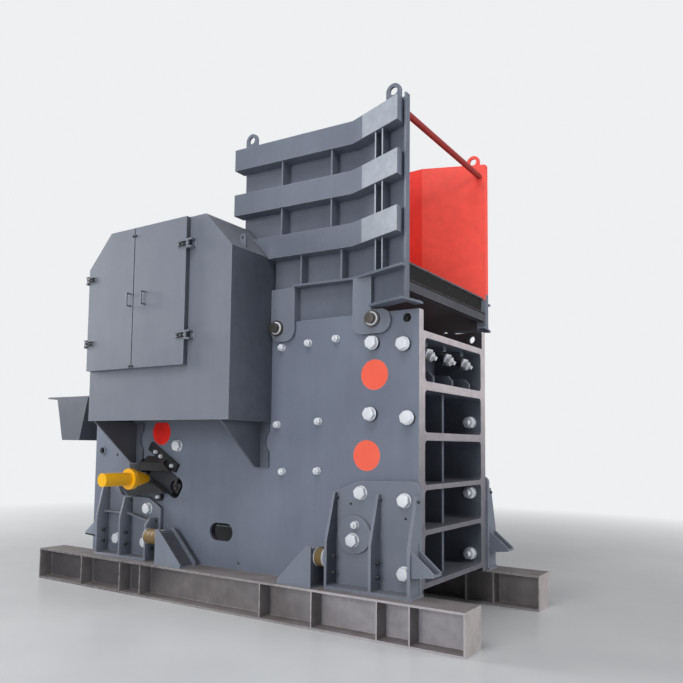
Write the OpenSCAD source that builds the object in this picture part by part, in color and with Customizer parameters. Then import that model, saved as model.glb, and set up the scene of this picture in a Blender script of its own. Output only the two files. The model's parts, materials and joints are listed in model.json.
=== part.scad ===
// Primary jaw crusher on two skid beams, with flared feed hopper and flywheel guards.
// Origin: floor level under the middle of the machine. +X is the front frame end, -Y the near side.

/* [Skid beams] */
// Length of each H-beam
skid_len = 5424; // [5000:10:6200]
// Distance from the origin to the front end of the beams
skid_front_x = 2937; // [2700:1:3200]
// Width of the beam flanges
skid_w = 340; // [300:5:400]
// Height of the beams
skid_h = 350; // [250:5:450]
// Thickness of the beam flanges
skid_flange_t = 19; // [12:1:28]
// Thickness of the beam web
skid_web_t = 14; // [8:1:20]
// Thickness of the stiffeners and end plates
skid_rib_t = 12; // [8:1:18]

/* [Side plates] */
// Half width over the two side plates
plate_out = 792; // [740:1:840]
// Thickness of each side plate
plate_t = 85; // [60:1:100]
// Distance from the origin to the front edge of the plates
plate_front_x = 2380; // [2250:1:2500]
// Length of the side plates
plate_len = 4320; // [4200:10:4500]
// Height of the upper edge above the beams
plate_h = 2500; // [2350:5:2600]
// Height of the rear lower shoulder above the beams
plate_rear_h = 1900; // [1800:5:2000]
// Radius of the flush pin discs
disc_r = 140; // [110:1:160]
// Radius of the lifting hole in the front upper corner
lift_hole_r = 42; // [25:1:60]

/* [Front frame] */
// Thickness of the side flanges of the casting
frame_flange_t = 35; // [25:1:60]
// Depth of the casting at its upper edge
frame_depth = 634; // [560:1:700]
// Lean of the fixed jaw
frame_lean = 4.5; // [2:0.5:7]
// Thickness of the wall behind the pockets
frame_wall_t = 110; // [80:1:140]
// Height of the lower edge above the beams
frame_foot = 42; // [20:1:60]
// Depth of the upper edge below the upper edge of the side plates
frame_drop = 184; // [100:1:240]
// Corner radius of the pockets
pocket_r = 45; // [20:1:70]

/* [Crushing chamber] */
// Gape at the feed mouth
gape = 950; // [850:5:1000]
// Gap between the jaws at the discharge
setting = 175; // [120:5:220]
// Thickness of a jaw die without its ridges
die_t = 90; // [70:1:110]
// Height of the ridges
ridge_h = 32; // [20:1:40]
// Number of ridges across a die
ridge_n = 13; // [9:1:17]
// Width of the swing jaw body
pitman_w = 1270; // [1200:5:1300]

/* [Shaft and flywheels] */
// Distance of the eccentric shaft behind the origin
shaft_back = 265; // [200:1:330]
// Height of the eccentric shaft above the upper edge of the side plates
shaft_rise = 18; // [0:1:50]
// Radius of the shaft ends
shaft_r = 110; // [90:1:130]
// Radius of the bearing housings
housing_r = 395; // [350:1:410]
// Radius of the swing jaw barrel
barrel_r = 425; // [390:1:440]
// Radius of the flywheels
wheel_r = 925; // [850:1:950]
// Width of the flywheel rims
wheel_w = 380; // [300:5:390]
// Depth of the recess between a flywheel's rim and hub
wheel_recess = 72; // [40:1:75]

/* [Flywheel guards] */
// Length of a guard
guard_len = 2017; // [1980:1:2100]
// Depth of a guard
guard_d = 646; // [630:1:680]
// Height of a guard
guard_h = 2016; // [1980:1:2100]
// Depth of the guard's open underside below the shaft
guard_drop = 1008; // [960:1:1040]
// Length of the upper corner cuts
guard_cut_x = 345; // [250:1:400]
// Height of the upper corner cuts
guard_cut_z = 362; // [250:1:400]
// Thickness of the guard sheet
sheet_t = 10; // [6:1:14]
// Width of the rear door
door_rear_w = 722; // [680:1:760]
// Width of the front door
door_front_w = 752; // [700:1:790]
// Height of the doors' lower edge above the guard's underside
door_foot = 532; // [500:1:600]
// Depth of a door
door_t = 50; // [40:1:60]

/* [Hopper] */
// Height of the hopper walls
hopper_h = 1866; // [1760:1:1960]
// Height of the walls' lower edge above the side plates
hopper_rise = 44; // [30:1:70]
// Distance from the origin to the rear edge of the walls
hopper_rear_x = 335; // [300:1:400]
// Distance from the origin to the bend where the walls flare
hopper_kink_x = 1703; // [1650:1:1780]
// Distance from the origin to the front edge of the walls
hopper_front_x = 2346; // [2300:1:2420]
// Half width over the walls at the rear
hopper_rear_y = 772; // [740:1:780]
// Half width over the walls at the bend
hopper_kink_y = 691; // [670:1:720]
// Half width over the walls at the front
hopper_front_y = 944; // [900:1:1000]
// Thickness of the hopper walls
hopper_t = 25; // [15:1:30]
// How far the bands stand out from the walls
band_d = 154; // [110:1:170]
// Height of each band
band_h = 224; // [180:1:260]
// Thickness of the band plates
band_t = 16; // [10:1:20]

/* [Feet and stops] */
// Length of a front foot
foot_front_len = 872; // [820:1:920]
// Length of a rear foot
foot_rear_len = 1016; // [950:1:1060]
// Depth of a foot measured from the side plate
foot_d = 228; // [200:1:260]
// Thickness of the foot plates
foot_t = 25; // [18:1:32]
// Thickness of the foot's mounting plate
foot_back_t = 48; // [30:1:60]
// Height of the stops above the beams
stop_h = 368; // [320:1:400]
// Radius of the rubber buffers
buffer_r = 85; // [60:1:95]

/* [Fasteners] */
// Width across flats of the large hexagon heads
bolt_af = 105; // [80:1:120]
// Width across flats of the small hexagon heads
bolt_small_af = 60; // [45:1:70]
// Radius of a hinge pin on the guard doors
pin_r = 10; // [8:1:14]

/* [Hidden] */
$fn = 48;

// Clearance between pieces that seat on one another
seat = 0.3;
// Clearance between pieces that move past one another
air = 6;

plate_in = plate_out - plate_t;
plate_rear_x = plate_front_x - plate_len;
plate_top = skid_h + plate_h;
// Places on the side plates, as shares of their length from the front edge and of their height
function plate_x(share) = plate_front_x - share * plate_len;
function plate_z(share) = skid_h + share * plate_h;

shaft_z = plate_top + shaft_rise;
guard_z = shaft_z - guard_drop;
hopper_foot = plate_top + hopper_rise;
hopper_top = hopper_foot + hopper_h;
skid_y = plate_out - 2;
shaft_x = -shaft_back;

frame_z0 = skid_h + frame_foot;
frame_z1 = plate_top - frame_drop;
frame_rear_top_x = plate_front_x - frame_depth;
function frame_rear_x(z) = frame_rear_top_x - (frame_z1 - z) * tan(frame_lean);

die_z0 = skid_h + 210;
die_z1 = frame_z1 - 60;
fixed_face_top_x = frame_rear_x(die_z1) - die_t - ridge_h;
fixed_face_low_x = frame_rear_x(die_z0) - die_t - ridge_h;
swing_face_top_x = fixed_face_top_x - gape;
swing_face_low_x = fixed_face_low_x - setting;
swing_lean = atan((swing_face_low_x - swing_face_top_x) / (die_z1 - die_z0));

guard_x0 = shaft_x - guard_len / 2;
guard_x1 = shaft_x + guard_len / 2;
guard_y = plate_out + seat;
guard_front_y = plate_out + guard_d;
guard_z1 = guard_z + guard_h;
door_y = guard_front_y + air;
door_seam_x = guard_x0 + door_rear_w;
door_front_x = door_seam_x + door_front_w;
hinge_y = door_y + door_t;
hinge_rear_x = guard_x0 - 16;
hinge_front_x = door_front_x + 16;

// Shapes drawn in the XZ plane and given a thickness from y0 to y1
module slab_xz(y0, y1) {
    translate([0, y1, 0])
        rotate([90, 0, 0])
            linear_extrude(y1 - y0)
                children();
}

// Shapes drawn in the YZ plane and given a thickness from x0 to x1
module slab_yz(x0, x1) {
    translate([x0, 0, 0])
        rotate([90, 0, 90])
            linear_extrude(x1 - x0)
                children();
}

// Shapes drawn in the XY plane and given a thickness from z0 to z1
module slab_xy(z0, z1) {
    translate([0, 0, z0])
        linear_extrude(z1 - z0)
            children();
}

// Box between two corners
module block(low, high) {
    translate(low)
        cube(high - low);
}

module rod_x(y, z, r, x0, x1) {
    translate([x0, y, z])
        rotate([0, 90, 0])
            cylinder(r = r, h = x1 - x0);
}

module rod_y(x, z, r, y0, y1) {
    translate([x, y0, z])
        rotate([-90, 0, 0])
            cylinder(r = r, h = y1 - y0);
}

module rod_z(x, y, r, z0, z1) {
    translate([x, y, z0])
        cylinder(r = r, h = z1 - z0);
}

module far_side() {
    mirror([0, 1, 0])
        children();
}

module both_sides() {
    children();
    far_side()
        children();
}

// Rectangle with true round corners, from its lower left corner
module round_rect(w, h, r) {
    translate([r, 0])
        square([w - 2 * r, h]);
    translate([0, r])
        square([w, h - 2 * r]);
    for (x = [r, w - r], y = [r, h - r])
        translate([x, y])
            circle(r);
}

// Hexagon head on a washer, pointing to -Y, seated on the plane y = -y0; a small one is a nut with its stud
module hex_bolt_y(x, z, af, y0, sleeve = 0) {
    washer_t = af * 0.12;
    head_t = af * 0.62;
    rod_y(x, z, af * 0.62, -y0 - sleeve - washer_t, -y0);
    translate([x, -y0 - sleeve - washer_t, z])
        rotate([90, 0, 0])
            cylinder(d = af / cos(30), h = head_t, $fn = 6);
    if (af < bolt_af)
        rod_y(x, z, af * 0.3, -y0 - sleeve - washer_t - head_t - af * 0.25,
            -y0 - sleeve - washer_t - head_t);
}

// Skid beams, with stiffeners at shares of the length from the front end
skid_rib_at = [0.0894, 0.1456, 0.2679, 0.3761, 0.6777, 0.7367, 0.8569];

module skid_near() {
    color("#5a5250") {
        x0 = skid_front_x - skid_len;
        y0 = -skid_y - skid_w;
        block([x0, y0, 0], [skid_front_x, -skid_y, skid_flange_t]);
        block([x0, y0, skid_h - skid_flange_t], [skid_front_x, -skid_y, skid_h]);
        web_y = -skid_y - skid_w / 2;
        block([x0, web_y - skid_web_t / 2, 0], [skid_front_x, web_y + skid_web_t / 2, skid_h]);
        for (x = [x0, skid_front_x - skid_rib_t])
            block([x, y0, 0], [x + skid_rib_t, -skid_y, skid_h]);
        for (at = skid_rib_at)
            block([skid_front_x - at * skid_len, y0, 0],
                [skid_front_x - at * skid_len + skid_rib_t, -skid_y, skid_h]);
    }
}

module skid_far() {
    far_side()
        skid_near();
}

// Side plates
disc_at = [[0.1044, 0.772], [0.1222, 0.4764], [0.74, 0.5596]];
hatch_x = plate_x(0.5262);
hatch_z = plate_z(0.1456);
hatch_len = 318;
hatch_h = 185;
lift_x = plate_x(0.028);
lift_z = plate_z(0.9708);
slot_x = plate_x(0.7285);
slot_z = plate_z(0.3604);
slot_len = 620;
slot_h = 240;
slot_r = 85;
slot_lean = 30;
eye_at = [plate_x(0.9715), plate_z(0.472)];
eye_r = 40;

module plate_outline() {
    polygon([[plate_rear_x, skid_h], [plate_front_x, skid_h], [plate_front_x, plate_top],
        [plate_x(0.7245), plate_top], [plate_x(0.7546), plate_z(0.928)],
        [plate_rear_x, skid_h + plate_rear_h]]);
}

module adjuster_slot() {
    translate([slot_x, slot_z])
        rotate(-slot_lean)
            translate([-slot_len / 2, -slot_h / 2])
                round_rect(slot_len, slot_h, slot_r);
}

module hatch_hole() {
    translate([hatch_x - hatch_len / 2, hatch_z - hatch_h / 2])
        round_rect(hatch_len, hatch_h, hatch_h / 2 - 1);
}

module side_plate_near() {
    color("#6d7480")
        slab_xz(-plate_out, -plate_in)
            difference() {
                plate_outline();
                translate([shaft_x, shaft_z])
                    circle(housing_r + seat);
                translate([lift_x, lift_z])
                    circle(lift_hole_r);
                hatch_hole();
                adjuster_slot();
                for (at = disc_at)
                    translate([plate_x(at[0]), plate_z(at[1])])
                        circle(disc_r + seat);
                translate(eye_at)
                    circle(eye_r);
            }
}

module side_plate_far() {
    far_side()
        side_plate_near();
}

module pin_discs() {
    color("#e8603f")
        both_sides()
            for (at = disc_at)
                rod_y(plate_x(at[0]), plate_z(at[1]), disc_r, -plate_out, -plate_in);
}

// Front frame casting: lower edge and thickness of each rib as shares of the casting's height
frame_ribs = [[0, 0.0185], [0.2023, 0.0185], [0.3751, 0.0198], [0.5686, 0.0308], [0.7665, 0.0347],
    [0.9736, 0.0264]];
frame_span = frame_z1 - frame_z0;
function rib_z0(i) = frame_z0 + frame_ribs[i][0] * frame_span;
function rib_z1(i) = rib_z0(i) + frame_ribs[i][1] * frame_span;
mid_rib_t = 44;
mid_rib_x = plate_front_x - 130;

// Bolts that clamp the fixed die slope down through the upper pocket, between a block and a gusset each
clamp_y = [-430, 0, 430];
clamp_lean = 25;
clamp_r = 46;
clamp_len = 330;
clamp_tip = 40;
clamp_nut_t = 48;
clamp_plate_t = 18;
clamp_tip_x = plate_front_x - 40;
clamp_tip_z = rib_z0(5) - 150;
gusset_h = 140;
gusset_back = 28;
block_back = 110;
block_h = 46;

module frame_profile() {
    polygon([[frame_rear_x(frame_z0), frame_z0], [plate_front_x, frame_z0], [plate_front_x, frame_z1],
        [frame_rear_x(frame_z1), frame_z1]]);
}

// Placed at a clamp's nut face, with +Z down along the bolt
module along_clamp(y) {
    translate([clamp_tip_x, y, clamp_tip_z])
        rotate([0, 90 + clamp_lean, 0])
            children();
}

module frame_pocket(i, half) {
    slab_yz(frame_rear_x(rib_z0(i + 1)) + frame_wall_t, plate_front_x + 1)
        translate([-half, rib_z1(i)])
            round_rect(2 * half, rib_z0(i + 1) - rib_z1(i), pocket_r);
}

module front_frame() {
    color("#6d7480")
        difference() {
            frame_casting();
            for (y = clamp_y)
                along_clamp(y)
                    translate([0, 0, -clamp_len - 1])
                        cylinder(r = clamp_r + seat, h = clamp_len - clamp_nut_t);
        }
}

module frame_casting() {
    half = plate_in - seat;
    inner = half - frame_flange_t;
    top = len(frame_ribs) - 2;
    wall_x = frame_rear_x(rib_z1(top)) + frame_wall_t - 20;
    union() {
        difference() {
            slab_xz(-half, half)
                frame_profile();
            for (i = [0 : top])
                frame_pocket(i, inner);
        }
        slab_xz(-mid_rib_t / 2, mid_rib_t / 2)
            polygon([[frame_rear_x(frame_z0) + 20, frame_z0 + 5], [mid_rib_x, frame_z0 + 5],
                [mid_rib_x, rib_z0(top) + 5], [frame_rear_x(rib_z0(top)) + 20, rib_z0(top) + 5]]);
        for (y = clamp_y) {
            slab_xz(y - 14, y + 14)
                polygon([[wall_x, rib_z1(top) - 5], [plate_front_x - gusset_back, rib_z1(top) - 5],
                    [plate_front_x - gusset_back, rib_z1(top) + gusset_h * 0.4],
                    [plate_front_x - gusset_back - 45, rib_z1(top) + gusset_h * 0.75],
                    [wall_x, rib_z1(top) + gusset_h]]);
            block([wall_x, y - 34, rib_z0(top + 1) - block_h],
                [plate_front_x - block_back, y + 34, rib_z0(top + 1) + 5]);
        }
    }
}

// Rear frame: a pocketed beam that carries the toggle and the motor base
rear_x0 = plate_x(0.9954);
rear_x1 = plate_x(0.838);
rear_z0 = plate_z(0.224);
rear_z1 = plate_z(0.728);
rear_wall_t = 120;
rear_web_t = 50;

module rear_frame() {
    half = plate_in - seat;
    step = (rear_z1 - rear_z0 - rear_web_t) / 3;
    color("#5f6672")
        difference() {
            block([rear_x0, -half, rear_z0], [rear_x1, half, rear_z1]);
            for (i = [0 : 2], y0 = [-half + 40, 20])
                translate([0, 0, rear_z0 + rear_web_t + i * step])
                    block([rear_x0 - 1, y0, 0], [rear_x1 - rear_wall_t, y0 + half - 60, step - rear_web_t]);
        }
}

// Jaw dies: ridges run down the face
module die_section(w) {
    pitch = w / ridge_n;
    polygon(concat([[0, w / 2], [0, -w / 2]],
        [for (i = [0 : ridge_n - 1], p = [[0.05, 0], [0.3, 1], [0.7, 1], [0.95, 0]])
            [-die_t - p[1] * ridge_h, -w / 2 + (i + p[0]) * pitch]]));
}

module fixed_jaw_die() {
    h = (die_z1 - die_z0) / cos(frame_lean);
    color("#4b4a4c")
        translate([frame_rear_x(die_z0) - seat, 0, die_z0])
            rotate([0, frame_lean, 0])
                linear_extrude(h)
                    die_section(2 * plate_in - 80);
}

module swing_jaw_die() {
    h = (die_z1 - die_z0) / cos(swing_lean);
    color("#4b4a4c")
        translate([swing_face_low_x - (die_t + ridge_h) / cos(swing_lean), 0, die_z0])
            rotate([0, -swing_lean, 0])
                linear_extrude(h)
                    mirror([1, 0])
                        die_section(pitman_w);
}

// Clamp bolts: a spacer tube, a plate, a nut and the thread's end, seen from the upper pocket
module jaw_clamps() {
    color("#c9cdd1")
        for (y = clamp_y)
            along_clamp(y) {
                cylinder(r = clamp_r * 0.42, h = clamp_tip);
                translate([0, 0, -clamp_nut_t])
                    cylinder(r = clamp_r, h = clamp_nut_t, $fn = 6);
                translate([-clamp_r * 1.25, -clamp_r * 1.25, -clamp_nut_t - clamp_plate_t])
                    cube([clamp_r * 2.5, clamp_r * 2.5, clamp_plate_t]);
                translate([0, 0, -clamp_len])
                    cylinder(r = clamp_r, h = clamp_len - clamp_nut_t - clamp_plate_t);
            }
}

// Swing jaw body
die_back = (die_t + ridge_h) / cos(swing_lean) + seat;
seat_x = swing_face_low_x - die_back - 620;
seat_z = die_z0 + 230;

module pitman() {
    low_x = swing_face_low_x - die_back;
    top_x = swing_face_top_x - die_back;
    color("#5b626d")
        difference() {
            union() {
                slab_xz(-pitman_w / 2, pitman_w / 2)
                    polygon([[low_x, die_z0], [top_x, die_z1], [shaft_x + 160, shaft_z + barrel_r - 40],
                        [shaft_x, shaft_z], [shaft_x - barrel_r * 0.72, shaft_z - barrel_r * 0.66],
                        [seat_x, seat_z + 170], [seat_x, seat_z - 170], [low_x - 120, die_z0 - 60]]);
                rod_y(shaft_x, shaft_z, barrel_r, -pitman_w / 2, pitman_w / 2);
            }
            rod_y(shaft_x, shaft_z, shaft_r + 20 + seat, -pitman_w, pitman_w);
            rod_y(seat_x, seat_z, 70, -pitman_w, pitman_w);
        }
}

// Cheek plates line the chamber's two sides
module cheek_plates() {
    color("#55565a")
        both_sides()
            slab_xz(-plate_in + seat, -plate_in + 38)
                polygon([[swing_face_low_x - 90, die_z0 + 420], [fixed_face_low_x - 60, die_z0 + 420],
                    [fixed_face_top_x - 30, die_z1 + 20], [swing_face_top_x + 60, die_z1 + 20]]);
}

// Eccentric shaft, bearing housings and flywheels
wheel_y0 = plate_out + 150;

module eccentric_shaft() {
    color("#8a8d90") {
        rod_y(shaft_x, shaft_z, shaft_r + 20, -plate_out - 110, plate_out + 110);
        rod_y(shaft_x, shaft_z, shaft_r, -wheel_y0 - wheel_w - 40, wheel_y0 + wheel_w + 40);
    }
}

module bearing_housings() {
    color("#6d7480")
        both_sides()
            difference() {
                union() {
                    rod_y(shaft_x, shaft_z, housing_r, -plate_out - 100, -pitman_w / 2 - 8);
                    rod_y(shaft_x, shaft_z, housing_r - 90, -plate_out - 125, -plate_out - 100);
                }
                rod_y(shaft_x, shaft_z, shaft_r + 20 + seat, -plate_out - 200, 0);
            }
}

// A rim, a web, a hub and a balance weight that fills part of the outer recess
module flywheel_near() {
    y0 = -wheel_y0 - wheel_w;
    y1 = -wheel_y0;
    rim_in = wheel_r - 150;
    hub_r = shaft_r + 120;
    color("#5b626d")
        difference() {
            rod_y(shaft_x, shaft_z, wheel_r, y0, y1);
            slab_xz(y0 - 1, y0 + wheel_recess)
                translate([shaft_x, shaft_z])
                    difference() {
                        circle(rim_in);
                        circle(hub_r);
                        polygon([[0, 0], [-2 * wheel_r, -wheel_r], [2 * wheel_r, -wheel_r]]);
                    }
            slab_xz(y1 - wheel_recess, y1 + 1)
                translate([shaft_x, shaft_z])
                    difference() {
                        circle(rim_in);
                        circle(hub_r);
                    }
            rod_y(shaft_x, shaft_z, shaft_r + seat, y0 - 1, 0);
        }
}

module flywheel_far() {
    far_side()
        flywheel_near();
}

// Toggle, its block in the adjuster slots, and the tension rod
toggle_r = 68;
toggle_t = 90;
block_x0 = -slot_len / 2 + slot_r + 5;
block_x1 = slot_len / 2 - slot_r - 30;
block_seat_x = slot_x + block_x1 * cos(slot_lean);
block_seat_z = slot_z - block_x1 * sin(slot_lean);

module toggle_plate() {
    half = pitman_w / 2 - 60;
    dx = seat_x - block_seat_x;
    dz = seat_z - block_seat_z;
    span = sqrt(dx * dx + dz * dz);
    color("#5b626d")
        translate([block_seat_x, 0, block_seat_z])
            rotate([0, -atan2(dz, dx), 0]) {
                block([0, -half, -toggle_t / 2], [span, half, toggle_t / 2]);
                for (x = [0, span])
                    rod_y(x, 0, toggle_r, -half, half);
            }
}

module toggle_block() {
    color("#4a4f58")
        difference() {
            slab_xz(-plate_out + 10, plate_out - 10)
                translate([slot_x, slot_z])
                    rotate(-slot_lean)
                        translate([block_x0, -slot_h / 2 + seat])
                            square([block_x1 - block_x0, slot_h - 2 * seat]);
            rod_y(block_seat_x, block_seat_z, toggle_r + seat, -plate_out, plate_out);
        }
}

rod_at_z = plate_z(0.132);
spring_x0 = plate_rear_x + 120;
spring_len = 440;
spring_r = 95;

module tension_rod() {
    anchor_x = spring_x0 + spring_len;
    color("#6a6d70") {
        rod_x(0, rod_at_z, 32, spring_x0 - 60, seat_x - seat);
        rod_x(0, rod_at_z, spring_r, spring_x0, anchor_x);
        block([anchor_x, -120, rod_at_z - 120], [anchor_x + 40, 120, rear_z0 - seat]);
    }
}

// Hydraulic wedge adjusters on each side
ram_x = plate_x(0.7671);
ram_z = plate_z(0.354);
ram_tip_y = plate_out + 708;
yoke_y = plate_out + 94;
// Steps of the ram from its tip: distance from the side plate and radius
ram_steps = [[708, 72], [358, 115], [308, 80], [208, 62], [148, 46]];
strip_t = 40;
strip_len = 490;
strip_h = 98;
tab_r = 48;
tab_x = ram_x + 135;
tab_z = ram_z - 201;
wedge_bolt_x = [-217, -120, 81];
wedge_af = 36;

module wedge_cylinders() {
    color("#e8a51c")
        both_sides()
            for (i = [0 : len(ram_steps) - 1]) {
                end = i < len(ram_steps) - 1 ? plate_out + ram_steps[i + 1][0] - 1 : yoke_y + seat;
                rod_y(ram_x, ram_z, ram_steps[i][1], -plate_out - ram_steps[i][0], -end);
            }
}

// Drawn on the side plate with X along the slot
module along_slot() {
    translate([slot_x, slot_z])
        rotate(-slot_lean)
            children();
}

module wedge_brackets() {
    color("#2c2f36")
        both_sides() {
            slab_xz(-plate_out - strip_t, -plate_out - seat)
                along_slot()
                    translate([-strip_len + 147, slot_h / 2 + 33])
                        square([strip_len, strip_h]);
            intersection() {
                slab_yz(slot_x - 263, slot_x + 237)
                    polygon([[-plate_out - seat, slot_z + 72], [-yoke_y, slot_z + 72],
                        [-yoke_y, slot_z + 158], [-plate_out - seat, slot_z + 234]]);
                slab_xz(-yoke_y - 1, -plate_out)
                    polygon([[slot_x - 264, slot_z], [slot_x + 256, slot_z], [slot_x + 77, slot_z + 158],
                        [slot_x + 77, slot_z + 240], [slot_x - 264, slot_z + 240]]);
            }
            slab_xz(-yoke_y, -plate_out - seat)
                polygon([[ram_x - 450, ram_z - 90], [ram_x - 291, ram_z - 207], [ram_x + 274, ram_z - 155],
                    [ram_x + 287, ram_z - 150], [ram_x + 49, ram_z - 25], [ram_x - 450, ram_z - 25]]);
            slab_xz(-plate_out - strip_t, -plate_out - seat)
                translate([tab_x, tab_z])
                    circle(tab_r);
        }
}

// Flywheel guards
module guard_outline(inset = 0) {
    k = inset * 0.42;
    polygon([[guard_x0 + inset, guard_z], [guard_x1 - inset, guard_z],
        [guard_x1 - inset, guard_z1 - guard_cut_z - k], [guard_x1 - guard_cut_x - k, guard_z1 - inset],
        [guard_x0 + guard_cut_x + k, guard_z1 - inset], [guard_x0 + inset, guard_z1 - guard_cut_z - k]]);
}

module door_field(x0, x1, inset = 0) {
    intersection() {
        guard_outline(inset);
        translate([x0, guard_z + door_foot + inset])
            square([x1 - x0, guard_h]);
    }
}

hinge_rear_z = [guard_z + 0.4132 * guard_h, guard_z + 0.7609 * guard_h];
hinge_front_z = [guard_z + 0.4092 * guard_h, guard_z + 0.8596 * guard_h];
handle_z = guard_z + 0.5873 * guard_h;
handle_h = 128;
handle_r = 8;
handle_out = 60;
knuckle_h = 60;
ear_t = 14;
hatch_rim = 60;

// Ears and pin of one hinge, at z its middle; toward +X for the front door, on the side face for the rear
module hinge_ears(x, z, toward) {
    for (low = [z - knuckle_h / 2 - seat - ear_t, z + knuckle_h / 2 + seat])
        if (toward > 0)
            block([x - 12, -hinge_y - 14, low], [x + 60, -guard_front_y + 1, low + ear_t]);
        else {
            block([x - 18, -hinge_y - 14, low], [guard_x0 - seat, -guard_front_y + 60, low + ear_t]);
            block([guard_x0 - 1, -guard_front_y + 1, low], [guard_x0 + 1, -guard_front_y + 9, low + ear_t]);
        }
    rod_z(x, -hinge_y, pin_r, z - knuckle_h / 2 - ear_t, z + knuckle_h / 2 + ear_t);
}

// Back sheet with the shaft's hole, a wrap of flat sheets open below, and a front sheet with a hatch
module guard_shell_near() {
    front_y = guard_front_y - sheet_t;
    color("#6d7480") {
        slab_xz(-guard_y - sheet_t, -guard_y)
            difference() {
                guard_outline();
                translate([shaft_x, shaft_z])
                    circle(housing_r + 25);
            }
        slab_xz(-front_y + seat, -guard_y - sheet_t - seat)
            difference() {
                guard_outline();
                guard_outline(sheet_t);
                translate([guard_x0 + sheet_t, guard_z - 1])
                    square([guard_len - 2 * sheet_t, sheet_t]);
            }
        slab_xz(-guard_front_y, -front_y)
            difference() {
                guard_outline();
                door_field(guard_x0 + hatch_rim, door_front_x - hatch_rim, hatch_rim);
            }
        for (z = hinge_rear_z)
            hinge_ears(hinge_rear_x, z, -1);
        for (z = hinge_front_z)
            hinge_ears(hinge_front_x, z, 1);
    }
}

module guard_shell_far() {
    far_side()
        guard_shell_near();
}

module door_tray(x0, x1) {
    difference() {
        slab_xz(-door_y - door_t, -door_y)
            door_field(x0, x1, air);
        slab_xz(-door_y - door_t + sheet_t, -door_y + 1)
            intersection() {
                door_field(x0 + sheet_t, x1 - sheet_t, air + sheet_t);
                translate([x0 + sheet_t, guard_z])
                    square([x1 - x0 - 2 * sheet_t, guard_h]);
            }
    }
}

module door_knuckle(x, z, toward) {
    difference() {
        union() {
            rod_z(x, -hinge_y, pin_r + 8, z - knuckle_h / 2, z + knuckle_h / 2);
            block([min(x, x + toward * 130), -hinge_y - 8, z - knuckle_h / 2],
                [max(x, x + toward * 130), -hinge_y + 1, z + knuckle_h / 2]);
        }
        rod_z(x, -hinge_y, pin_r + 0.08, z - knuckle_h, z + knuckle_h);
    }
}

module pull_handle(x, z) {
    for (dz = [0, handle_h])
        rod_y(x, z + dz, handle_r, -hinge_y - handle_out, -hinge_y + 1);
    rod_z(x, -hinge_y - handle_out, handle_r, z - handle_r, z + handle_h + handle_r);
}

module guard_door_rear() {
    color("#6d7480") {
        door_tray(guard_x0 + air, door_seam_x - air);
        for (z = hinge_rear_z)
            door_knuckle(hinge_rear_x, z, 1);
        pull_handle(door_seam_x - 28, handle_z);
    }
}

module guard_door_front() {
    color("#6d7480") {
        door_tray(door_seam_x + air, door_front_x - air);
        for (z = hinge_front_z)
            door_knuckle(hinge_front_x, z, -1);
        pull_handle(door_seam_x + 186, handle_z);
    }
}

module guard_doors_far() {
    far_side() {
        guard_door_rear();
        guard_door_front();
    }
}

// Triangular brackets under the guards
bracket_at = [guard_x0 + 0.026 * guard_len, guard_x0 + 0.9318 * guard_len];
bracket_h = 460;
bracket_t = 20;

module guard_brackets() {
    color("#5f6672")
        both_sides()
            for (x = bracket_at) {
                slab_yz(x, x + bracket_t)
                    polygon([[-plate_out - seat, guard_z - seat], [-guard_front_y + 28, guard_z - seat],
                        [-plate_out - 90, guard_z - bracket_h], [-plate_out - seat, guard_z - bracket_h]]);
                slab_xz(-plate_out - 22, -plate_out - seat)
                    difference() {
                        translate([x, guard_z - bracket_h])
                            square([124, bracket_h - seat]);
                        translate([x + 213, guard_z - 0.43 * bracket_h])
                            circle(134);
                    }
            }
}

// Feet welded to the side plates and standing on the beams
foot_front_x1 = plate_front_x + 44;
foot_front_x0 = foot_front_x1 - foot_front_len;
foot_rear_x0 = plate_x(0.9468);
foot_rear_x1 = foot_rear_x0 + foot_rear_len;
foot_z = skid_h + seat;
// The rear feet end just below the wedge brackets
rear_foot_top = ram_z - 217;

module foot_gusset(x, top, straight) {
    back = plate_out + foot_back_t;
    out = plate_out + foot_d;
    slab_yz(x, x + foot_t)
        difference() {
            polygon([[-back + 1, foot_z + foot_t - 1], [-out, foot_z + foot_t - 1],
                [-out, skid_h + straight], [-back - 45, skid_h + top], [-back + 1, skid_h + top]]);
            translate([-back - 26, skid_h + top - 45])
                circle(11);
        }
}

module jack_bracket(x, toward) {
    for (y = [-plate_out - foot_d + 30, -plate_out - 60])
        slab_xz(y, y + 20)
            polygon([[x, skid_h + 180], [x + toward * 205, skid_h + 205], [x + toward * 205, skid_h + 235],
                [x, skid_h + 405]]);
    slab_xz(-plate_out - foot_d + 30, -plate_out - 40)
        polygon([[x, skid_h + 180], [x + toward * 205, skid_h + 205], [x + toward * 205, skid_h + 225],
            [x, skid_h + 200]]);
}

module front_feet() {
    x0 = foot_front_x0;
    x1 = foot_front_x1;
    color("#6d7480")
        both_sides() {
            block([x0, -plate_out - foot_d, foot_z], [x1, -plate_out - seat, foot_z + foot_t]);
            slab_xz(-plate_out - foot_back_t, -plate_out - seat)
                union() {
                    polygon([[x0, foot_z], [x1 - 18, foot_z], [x1 - 18, skid_h + 905],
                        [x1 - 88, skid_h + 975], [x0 + 260, skid_h + 960], [x0, skid_h + 860]]);
                    translate([x1 - 88, skid_h + 905])
                        circle(70);
                }
            for (x = [x0, (x0 + x1) / 2 + 20, x1 - 43])
                foot_gusset(x, 850, 420);
            jack_bracket(x1 - 20, 1);
        }
}

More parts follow.
